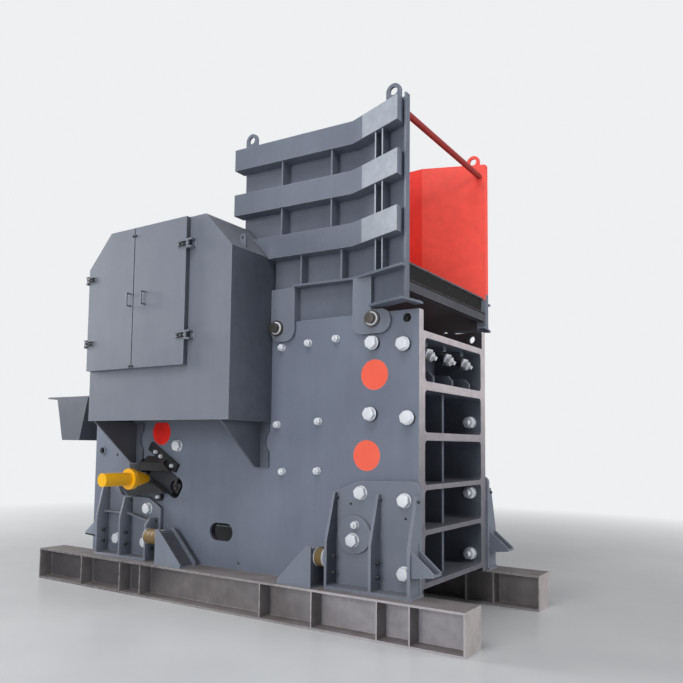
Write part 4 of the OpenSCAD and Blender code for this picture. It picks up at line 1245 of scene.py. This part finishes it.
def seen_place(x: float, z: float, reach: float = 0.08) -> tuple[float, float]:
    """Return the place where a fastener of the CAD is really seen.

    Args:
        x: The fastener's X.
        z: The fastener's Z.
        reach: How far the seen place may be from it.

    Returns:
        The nearest seen X and Z within reach, or the given ones.
    """
    near = min(SEEN_BOLTS, key=lambda p: math.hypot(p[0] - x, p[1] - z))
    return near if math.hypot(near[0] - x, near[1] - z) < reach else (x, z)


class BoltKind(Enum):
    """The two fasteners of the side plates.

    Each has the thickness of its washer, head and stud for a width across flats of 1, and how far the
    CAD's plain one stands out.
    """

    PLAIN = (0.06, 0.42, 0.0, 0.74)
    STUD = (0.12, 0.62, 0.25, 0.99)

    @property
    def cad_depth(self) -> float:
        """Return how far the CAD's fastener stands out of its seat."""
        return self.value[3]

    def shape(self, washer_r: float) -> bpy.types.Object:
        """Make the fastener with its washer, its axis along +Z.

        Args:
            washer_r: The washer's radius.

        Returns:
            The fastener, to be scattered and dropped.
        """
        washer_t, head, stud, _depth = self.value
        work = bmesh.new()
        turned(work, [(washer_r * 0.95, 0), (washer_r, washer_t * 0.25), (washer_r, washer_t * 0.75),
                      (washer_r * 0.96, washer_t)], 24)
        HexHead(height=head).add(work, Matrix.Translation((0, 0, washer_t)), stud)
        return object_from("shape_" + self.name.lower(), work, 0.5)


@dataclass
class PlateBolts:
    """Heads, nuts, washers and collars of the side plates' and foot discs' fasteners."""

    washer: float = WASHER
    large_af: float = 0.08
    collar: float = 0.6
    disc_r: float = 0.17
    disc_t: float = 0.028
    disc_bolts: tuple[Triple, ...] = ((1.762, 0.780, 0.105), (1.789, 0.917, 0.060))

    def sort(self, node: bpy.types.Object) -> tuple[dict[BoltKind, list[tuple[Matrix, float]]],
                                                    list[tuple[Matrix, float, float]], list[Extent]]:
        """Find the fasteners, their collars and the discs in a CAD node.

        Args:
            node: The node's object.

        Returns:
            Places and sizes of each kind, place, radius and length of each collar, and the discs' boxes.
        """
        spots: dict[BoltKind, list[tuple[Matrix, float]]] = {kind: [] for kind in BoltKind}
        collars: list[tuple[Matrix, float, float]] = []
        discs: list[Extent] = []
        for solid in solids_of(node):
            middle = solid.middle
            if solid.size.x > 1.9 * self.disc_r:
                discs.append(solid)
                side = Side.FAR if middle.y > 0 else Side.NEAR
                base = (solid.low.y if side is Side.FAR else solid.high.y) + side.value * self.disc_t
                for x, z, af in self.disc_bolts:
                    kind = BoltKind.PLAIN if af > self.large_af else BoltKind.STUD
                    spots[kind].append((facing((x, base, z), side.outward), af))
                continue
            if math.hypot(middle.x - UNSEEN_BOLT[0], middle.z - UNSEEN_BOLT[1]) < 0.02:
                continue
            side = Side.FAR if middle.y > 0 else Side.NEAR
            af = solid.size.x / (2 * self.washer)
            kind = BoltKind.PLAIN if af > self.large_af else BoltKind.STUD
            base = solid.low.y if side is Side.FAR else solid.high.y
            sleeve = max(0.0, solid.size.y - kind.cad_depth * af)
            x, z = seen_place(middle.x, middle.z)
            foot = Vector((x, base, z))
            spots[kind].append((facing(foot + Vector((0, side.value * sleeve, 0)), side.outward), af))
            if sleeve > 0.005:
                collars.append((facing(foot, side.outward), af * self.collar, sleeve))
        return spots, collars, discs

    def build(self, shop: Workshop) -> None:
        """Replace the CAD bolt nodes by detailed fasteners.

        Args:
            shop: The workshop that finishes and keeps the pieces.
        """
        shapes = {kind: kind.shape(self.washer) for kind in BoltKind}
        for label in ("plate_bolts_near", "plate_bolts_far", "foot_discs"):
            spots, collars, discs = self.sort(shop.node(label))
            for kind, places in spots.items():
                piece = shop.scatter(f"{label}_{kind.name.lower()}", shapes[kind], places, "zinc")
                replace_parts(shop.keep(piece, "zinc"), label)
            sleeves, plates = bmesh.new(), bmesh.new()
            for at, r, length in collars:
                turned(sleeves, [(r, 0), (r, length * 0.8), (r * 0.97, length)], 28, None, at)
            for disc in discs:
                side = Side.FAR if disc.middle.y > 0 else Side.NEAR
                base = disc.low.y if side is Side.FAR else disc.high.y
                r, t = self.disc_r, self.disc_t
                x, z = seen_place(disc.middle.x, disc.middle.z)
                turned(plates, [(r, 0), (r, t * 0.75), (r * 0.985, t)], 56, None,
                       facing((x, base, z), side.outward))
            if collars:
                # Collars darkened: painted shade behind the bolt heads
                shop.keep(object_from(f"{label}_collars", sleeves, 0.6), "dark_paint")
            if discs:
                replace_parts(shop.keep(object_from(f"{label}_plates", plates, 0.6), "body_paint"),
                            label)
        for shape in shapes.values():
            drop(shape)


@dataclass
class FrameNuts:
    """Nuts on the inner faces of the front frame's flanges, seen through the pockets."""

    x: float = 2.262
    half: float = 0.6715
    af: float = 0.105
    heights: tuple[float, ...] = (1.887, 1.155, 0.529)

    def build(self, shop: Workshop) -> None:
        """Build the nuts.

        Args:
            shop: The workshop that finishes and keeps the pieces.
        """
        work = bmesh.new()
        for side in Side:
            for z in self.heights:
                at = facing((self.x, side.value * self.half, z), "+y" if side is Side.NEAR else "-y")
                at = at @ Matrix.Scale(self.af, 4)
                turned(work, [(WASHER, 0), (WASHER, 0.1)], 24, None, at)
                HexHead().add(work, at @ Matrix.Translation((0, 0, 0.1)), 0.35)
        shop.keep(object_from("frame_nuts", work, 0.5), "zinc")


@dataclass
class GussetBolts:
    """Small bolts on the front faces of the feet's gussets."""

    af: float = 0.036
    places: tuple[Triple, ...] = (
        (-1.590, 0.934, 0.623), (-1.590, 0.934, 0.499), (-1.197, 0.943, 0.623), (-1.197, 0.943, 0.493),
        (-0.782, 0.943, 0.481), (1.577, 0.92, 0.624), (1.577, 0.92, 0.477), (2.033, 0.914, 0.609),
        (2.033, 0.914, 0.484))
    tops: tuple[Triple, ...] = (
        (1.577, 0.866, 1.155), (2.033, 0.866, 1.155), (2.406, 0.866, 1.155))
    top_af: float = 0.024

    def build(self, shop: Workshop) -> None:
        """Build the bolts by scattering one head.

        Args:
            shop: The workshop that finishes and keeps the pieces.
        """
        work = bmesh.new()
        turned(work, [(WASHER, 0), (WASHER, 0.12)], 18)
        HexHead(steps=18).add(work, Matrix.Translation((0, 0, 0.12)))
        shape = object_from("shape_gusset", work, 0.5)
        spots = [(facing((x, side.value * y, z), "+x"), af)
                 for places, af in ((self.places, self.af), (self.tops, self.top_af))
                 for x, y, z in places for side in Side]
        # Gusset bolts dark: painted shade on the gussets' front faces
        shop.keep(shop.scatter("gusset_bolts", shape, spots, "dark_paint"), "dark_paint")
        drop(shape)


@dataclass
class RearFeet:
    """Feet at the rear end: base, stepped back plate, three gussets, shelves and jack lugs."""

    x: float = -1.710
    base_z: float = 0.3503
    plate_y: float = 0.7923
    back_y: float = 0.840
    out_y: float = 1.020
    sheet: float = 0.025
    soft: float = 0.003
    shelf_y: float = 0.922
    jack_y: tuple[float, float] = (0.832, 0.990)
    jack_t: float = 0.020
    # X from the foot's rear end and Z of the plates' corners
    base: Points = ((0.09, 0.3503), (0.932, 0.3503), (0.932, 0.3753), (0.09, 0.3753))
    back_plate: Points = (
        (0.06, 0.3503), (0.962, 0.3503), (0.962, 0.913), (0.766, 1.018), (0.32, 1.018), (0.24, 1.148),
        (0.06, 1.148))
    shelves: tuple[Points, ...] = (
        ((0.115, 0.825), (0.493, 0.825), (0.493, 0.845), (0.115, 0.845)),
        ((0.508, 0.828), (0.908, 0.742), (0.908, 0.762), (0.508, 0.848)))
    jack_side: Points = (
        (0.105, 0.540), (-0.125, 0.555), (-0.125, 0.585), (0.105, 0.772))
    jack_floor: Points = (
        (0.105, 0.540), (-0.125, 0.555), (-0.125, 0.575), (0.105, 0.560))
    # X of each gusset from the foot's rear end, height of its top, of its upright edge, width of its top
    gussets: tuple[tuple[float, float, float, float], ...] = (
        (0.095, 1.144, 0.790, 0.095), (0.488, 1.014, 0.790, 0.115), (0.903, 0.805, 0.735, 0.120))

    @property
    def front_faces(self) -> list[float]:
        """Return X of each gusset's front face."""
        return [self.x + at + self.sheet for at, *_ in self.gussets]

    def flat(self, work: bmesh.types.BMesh, side: Side, outline: Sequence[tuple[float, float]], y0: float,
             y1: float) -> None:
        """Add a plate between two distances from the middle plane."""
        slab(work, [Vector((self.x + x, side.value * y0, z)) for x, z in outline],
             Vector((0, side.value * (y1 - y0), 0)), self.soft)

    def build(self, shop: Workshop) -> None:
        """Build both feet in place of the plainer CAD ones.

        Args:
            shop: The workshop that finishes and keeps the pieces.
        """
        work, holes = bmesh.new(), bmesh.new()
        back = self.back_y
        for side in Side:
            self.flat(work, side, self.base, self.plate_y, self.out_y + 0.005)
            self.flat(work, side, self.back_plate, self.plate_y, back)
            for at, top, straight, top_w in self.gussets:
                outline = [(back - 0.001, self.base_z), (self.out_y, self.base_z), (self.out_y, straight),
                           (back + top_w, top), (back - 0.001, top)]
                slab(work, [Vector((self.x + at, side.value * y, z)) for y, z in outline],
                     Vector((self.sheet, 0, 0)), self.soft)
                # Dark discs on both faces of each gusset: painted shade for its small holes
                for face, way in ((at, "-x"), (at + self.sheet, "+x")):
                    turned(holes, [(0.013, -0.002), (0.013, 0.0006), (0.010, 0.0006)], 16, None,
                           facing((self.x + face, side.value * (back + 0.028), top - 0.036), way))
            for shelf in self.shelves:
                self.flat(work, side, shelf, back - 0.001, self.shelf_y)
            inner, outer = self.jack_y
            for y in (inner, outer - self.jack_t):
                self.flat(work, side, self.jack_side, y, y + self.jack_t)
            self.flat(work, side, self.jack_floor, inner, outer)
        piece = shop.keep(object_from("rear_feet_plates", work, 0.5), "body_paint")
        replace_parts(piece, "rear_feet")
        shop.keep(object_from("rear_feet_holes", holes, 0.5), "black_steel")


@dataclass
class RamHood:
    """Rear end of the hood over the ram."""

    outline: Points = (
        (-1.207, 1.299), (-1.025, 1.299), (-1.025, 1.450), (-1.085, 1.393), (-1.237, 1.393))
    root_y: float = 0.7923
    reach: float = 0.0935

    def build(self, shop: Workshop) -> None:
        """Build the hood's end on both sides.

        Args:
            shop: The workshop that finishes and keeps the pieces.
        """
        work = bmesh.new()
        for side in Side:
            slab(work, [Vector((x, side.value * self.root_y, z)) for x, z in self.outline],
                 Vector((0, side.value * self.reach, 0)), 0.004)
        shop.keep(object_from("ram_hood", work, 0.5), "wedge_paint")


@dataclass
class BufferRings:
    """Pale washers at both ends of the rubber buffers, and ridges round them."""

    ring_t: float = 0.007
    ridges: int = 4

    def build(self, shop: Workshop) -> None:
        """Build washers and ribbed rubber bodies in place of the plain ones.

        Args:
            shop: The workshop that finishes and keeps the pieces.
        """
        washers, bodies = bmesh.new(), bmesh.new()
        for solid in solids_of(shop.node("buffers")):
            first = RearFeet().front_faces[-1] if solid.middle.x < 0 else solid.low.x
            radius, length = solid.size.z / 2, solid.high.x - first
            start = Vector((first, solid.middle.y, solid.middle.z))
            for x in (0.0, length - self.ring_t):
                at = facing(start + Vector((x, 0, 0)), "+x")
                turned(washers, [(radius * 0.97, 0), (radius, 0.002), (radius, self.ring_t)], 40, None, at)
            run = length - 2 * self.ring_t - 0.001
            rings = []
            for i in range(self.ridges * 4 + 1):
                share = i / (self.ridges * 4)
                wave = 0.5 - 0.5 * math.cos(math.tau * share * self.ridges)
                rings.append((radius * (0.93 + 0.045 * wave), share * run))
            turned(bodies, rings, 40, None,
                   facing(start + Vector((self.ring_t + 0.0005, 0, 0)), "+x"))
        shop.keep(object_from("buffer_washers", washers, 0.6), "zinc")
        piece = shop.keep(object_from("buffer_bodies", bodies, 1.0), "buffer_rubber")
        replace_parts(piece, "buffers")


@dataclass
class DoorHardware:
    """Strap hinges and latches of the near guard doors."""

    hinge_y: float = -1.494
    bar_r: float = 0.006
    gap: float = 0.034
    reach: float = 0.12
    front: float = 0.2165
    rear: float = -1.2895
    seam: float = -0.5515
    latch_off: float = 0.02
    latch_z: tuple[float, float] = (2.414, 3.782)
    rear_z: tuple[float, float] = (2.693, 3.394)
    front_z: tuple[float, float] = (2.685, 3.593)
    plate_x: tuple[float, float] = (0.2265, 0.2915)
    plate_y: tuple[float, float] = (-1.4465, -1.4383)
    plate_half: float = 0.055

    def strap(self, work: bmesh.types.BMesh, x: float, z: float, towards: float) -> None:
        """Add the two bars of one hinge, in front of its leaf.

        Args:
            work: The bmesh that gets them.
            x: The hinge line.
            z: The hinge's height.
            towards: The way of the door along X.
        """
        for dz in (-self.gap / 2, self.gap / 2):
            low, high = sorted((x + towards * 0.008, x + towards * self.reach))
            cuboid(work, (low, self.hinge_y - 0.020, z + dz - self.bar_r),
                   (high, self.hinge_y - 0.008, z + dz + self.bar_r), 0.0015)
        for share in (0.35, 0.8):
            at = facing((x + towards * self.reach * share, self.hinge_y - 0.008, z), "-y")
            HexHead(steps=12).add(work, at @ Matrix.Scale(0.018, 4))

    def build(self, shop: Workshop) -> None:
        """Build each door's own hardware and the shell's hinge plates.

        Args:
            shop: The workshop that finishes and keeps the pieces.
        """
        for name, body, x, heights, towards in (
                ("rear", "rear_door", self.rear, self.rear_z, 1.0),
                ("front", "front_door", self.front, self.front_z, -1.0)):
            work = bmesh.new()
            for z in heights:
                self.strap(work, x, z, towards)
            latch = self.seam - towards * self.latch_off
            for z in self.latch_z:
                turned(work, [(0.011, 0), (0.011, 0.008), (0.008, 0.014)], 14, None,
                       facing((latch, self.hinge_y, z), "-y"))
            shop.keep(object_from(f"hardware_{name}_door", work, 0.6), "black_steel", body)
        plates = bmesh.new()
        for z in self.front_z:
            cuboid(plates, (self.plate_x[0], self.plate_y[0], z - self.plate_half),
                   (self.plate_x[1], self.plate_y[1], z + self.plate_half), 0.002)
        shop.keep(object_from("hinge_plates", plates, 0.6), "body_paint")


@dataclass
class GuardLug:
    """Lifting lug with a hole on the guards' sloping top."""

    x: float = 0.675
    y: float = 1.19
    half_w: float = 0.040
    height: float = 0.105
    t: float = 0.016
    hole: float = 0.018
    # One point of the guards' sloping top, and how much it rises towards the rear
    top_x: float = 0.7435
    top_z: float = 3.514
    slope: float = 362 / 345

    def outline(self, count: int = 10) -> list[tuple[float, float]]:
        """Return the lug's outline: straight sides under a round top.

        Args:
            count: Steps round the top.

        Returns:
            The corners in X and Z.
        """
        points = [(-self.half_w, -0.05), (self.half_w, -0.05)]
        for i in range(count + 1):
            angle = math.pi * i / count
            points.append((self.half_w * math.cos(angle), self.height - self.half_w
                           + self.half_w * math.sin(angle)))
        return points

    def build(self, shop: Workshop) -> None:
        """Build one lug on each guard.

        Args:
            shop: The workshop that finishes and keeps the pieces.
        """
        work = bmesh.new()
        for side in Side:
            y0 = side.value * self.y
            z0 = self.top_z + (self.top_x - self.x) * self.slope
            outer = [Vector((self.x + px, y0, z0 + pz)) for px, pz in self.outline()]
            centre = Vector((self.x, y0, z0 + self.height - self.half_w))
            inner = []
            for point in outer:
                away = (point - centre).normalized()
                inner.append(centre + away * self.hole)
            depth = Vector((0, side.value * self.t, 0))
            loops = [ring(work, outer), ring(work, [p + depth for p in outer]),
                     ring(work, [p + depth for p in inner]), ring(work, inner)]
            for i in range(4):
                bridge(work, loops[i], loops[(i + 1) % 4])
        shop.keep(object_from("guard_lugs", work, 0.5), "guard_paint")


@dataclass
class HoleDots:
    """Small tapped holes on plates and feet, each drawn as a dark disc in a low rim: painted shade for the
    inside of the hole.
    """

    places: tuple[tuple[float, float, float, float], ...] = (
        (-1.550, PLATE_Y, 1.485, 0.016), (0.353, PLATE_Y, 0.417, 0.012),
        (1.719, 0.840, 1.101, 0.012), (2.277, 0.840, 1.001, 0.012))

    def build(self, shop: Workshop) -> None:
        """Build all the plugs.

        Args:
            shop: The workshop that finishes and keeps the pieces.
        """
        work = bmesh.new()
        for x, y, z, r in self.places:
            for side in Side:
                at = facing((x, side.value * y, z), side.outward)
                turned(work, [(r, -0.002), (r, 0.0012), (r * 0.8, 0.0016), (r * 0.7, 0.0004)], 16, None, at)
        shop.keep(object_from("tapped_holes", work, 0.5), "black_steel")


@dataclass
class EyeRing:
    """Lip round the eye hole in the rear lower corner of the plates."""

    x: float = -1.817
    z: float = 1.530
    r: float = 0.040
    lip: float = 0.016
    steps: int = 32

    def build(self, shop: Workshop) -> None:
        """Build a rounded lip on each side.

        Args:
            shop: The workshop that finishes and keeps the pieces.
        """
        work = bmesh.new()
        out = self.r + self.lip
        turns = [math.tau * i / self.steps for i in range(self.steps)]
        for side in Side:
            at = facing((self.x, side.value * PLATE_Y, self.z), side.outward)
            rings = [(self.r, -0.01), (self.r, 0.008), (self.r + 0.003, 0.012), (out - 0.004, 0.012),
                     (out, 0.008), (out, -0.01)]
            loops = []
            for r, z in rings:
                loops.append(ring(work, [at @ Vector((r * math.cos(t), r * math.sin(t), z)) for t in turns]))
            for a, b in zip(loops, loops[1:] + loops[:1]):
                bridge(work, a, b)
        shop.keep(object_from("eye_rings", work, 0.7), "body_paint")


@dataclass
class SlotWedges:
    """Greasy wedge blocks and their bolts in the end of the adjuster slot."""

    x: float = -0.60
    y: float = 0.745
    z: float = 1.17
    half: float = 0.035
    tilt: float = 30.0
    # Place, width and height of each block along the slot
    blocks: tuple[tuple[float, float, float, float], ...] = (
        (-0.13, 0.035, 0.15, 0.07), (0.03, -0.01, 0.11, 0.11), (-0.13, -0.05, 0.12, 0.05))
    bolts: Points = ((0.035, 0.03), (0.03, -0.035))

    def build(self, shop: Workshop) -> None:
        """Build the blocks on each side.

        Args:
            shop: The workshop that finishes and keeps the pieces.
        """
        blocks, bolts = bmesh.new(), bmesh.new()
        turn = Matrix.Rotation(math.radians(self.tilt), 4, "Y")
        for side in Side:
            y = side.value * self.y
            for dx, dz, w, h in self.blocks:
                own = bmesh.new()
                cuboid(own, (-w / 2, -self.half, -h / 2), (w / 2, self.half, h / 2), 0.006)
                own.transform(Matrix.Translation((self.x, y, self.z)) @ turn
                              @ Matrix.Translation((dx, 0.0, dz)))
                merge(blocks, own)
            for dx, dz in self.bolts:
                at = facing((self.x + dx, y + side.value * self.half, self.z + dz), side.outward)
                HexHead(steps=18).add(bolts, at @ Matrix.Scale(0.034, 4), 0.3)
        shop.keep(object_from("slot_wedges", blocks, 0.5), "wedge_paint")
        shop.keep(object_from("slot_bolts", bolts, 0.5), "pin_steel")


@dataclass
class PinTrim:
    """Bright washers and turned ends on the hopper's pins."""

    seat_y: float = 0.8515
    least_wide: float = 0.12

    def build(self, shop: Workshop) -> None:
        """Build a washer and a low, stepped end on each pin.

        Args:
            shop: The workshop that finishes and keeps the pieces.
        """
        washers, ends = bmesh.new(), bmesh.new()
        for solid in solids_of(shop.node("hopper_pins")):
            outer = solid.high.y if solid.middle.y > 0 else solid.low.y
            side = Side.FAR if outer > 0 else Side.NEAR
            if solid.size.x < self.least_wide:
                continue
            centre = Vector((solid.middle.x, side.value * self.seat_y, solid.middle.z))
            turned(washers, [(0.062, 0), (0.064, 0.002), (0.064, 0.006), (0.05, 0.007)], 40, None,
                   facing(centre, side.outward))
            tip = Vector((solid.middle.x, outer, solid.middle.z))
            turned(ends, [(0.034, -0.004), (0.034, 0.0), (0.030, 0.0005), (0.012, 0.0005)], 28, None,
                   facing(tip, side.outward))
        shop.keep(object_from("pin_washers", washers, 0.5), "zinc")
        shop.keep(object_from("pin_ends", ends, 0.5), "pin_steel")


@dataclass
class SillBolts:
    """Dark screw heads in the sill's strip."""

    x: float = 2.301
    z: float = 3.195
    across: tuple[float, ...] = (-0.45, 0.0, 0.45)

    def build(self, shop: Workshop) -> None:
        """Build the sunk heads.

        Args:
            shop: The workshop that finishes and keeps the pieces.
        """
        work = bmesh.new()
        for y in self.across:
            turned(work, [(0.026, -0.002), (0.026, 0.003), (0.020, 0.004), (0.015, -0.0005)], 24, None,
                   facing((self.x, y, self.z), "+x"))
        shop.keep(object_from("sill_bolts", work, 0.5), "black_steel")


@dataclass
class Welds:
    """Beads where stiffeners and gussets meet their plates."""

    skid_front: float = 2.937
    skid_length: float = 5.424
    skid_y: float = 0.969
    # Where the stiffeners are, as shares of the skid's length from its front end
    stiffeners: tuple[float, ...] = (0.0894, 0.1456, 0.2679, 0.3761, 0.6777, 0.7367, 0.8569)
    # X of each front gusset's face from the foot's rear end
    gussets: tuple[float, ...] = (0.025, 0.481, 0.854)
    # Y, lowest and highest Z of the beads up the back plate, and Z and both Y of those on the base
    upright: Triple = (0.843, 0.385, 0.80)
    lying: Triple = (0.379, 0.85, 1.01)

    def ribs(self) -> list[list[Triple]]:
        """Return the runs along the skid beams' stiffeners.

        Returns:
            One run of points for each bead.
        """
        runs = []
        for share in self.stiffeners:
            x = self.skid_front - self.skid_length * share
            for side in Side:
                y = side.value * self.skid_y
                runs.append([(x + 0.009, y, 0.03), (x + 0.009, y, 0.32)])
        return runs

    def feet(self) -> list[list[Triple]]:
        """Return the runs along the feet's gussets.

        Returns:
            One run of points for each bead.
        """
        runs = []
        front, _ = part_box("front_feet")
        places = [front.x + o for o in self.gussets] + RearFeet().front_faces
        back, foot, top = self.upright
        base, root, tip = self.lying
        for x in (place + 0.001 for place in places):
            for side in Side:
                runs.append([(x, side.value * back, foot), (x, side.value * back, top)])
                runs.append([(x, side.value * root, base), (x, side.value * tip, base)])
        return runs

    def build(self, shop: Workshop) -> None:
        """Lay the beads."""
        shop.weld("skid_welds", self.ribs(), radius=0.006)
        shop.weld("foot_welds", self.feet(), radius=0.007)


PARTS: tuple[type[Part], ...] = (PlateBolts, FrameNuts, GussetBolts, RearFeet, RamHood, BufferRings,
                                 DoorHardware, GuardLug, HoleDots, EyeRing, SlotWedges, PinTrim, SillBolts,
                                 Welds)


# Main


def main() -> None:
    """Build every sub-assembly's looks round the frame."""
    logging.basicConfig(level=logging.INFO, format="%(name)s: %(message)s")
    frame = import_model()
    shop = Workshop(frame)
    shop.prepare(FINISHES)
    for finish, nodes in NODE_FINISH.items():
        for node in nodes:
            shop.dress(node, finish)
    for part in PARTS:
        part().build(shop)
    Studio().build()
    LOG.info("%d new pieces", shop.count)


if __name__ == "__main__":
    main()
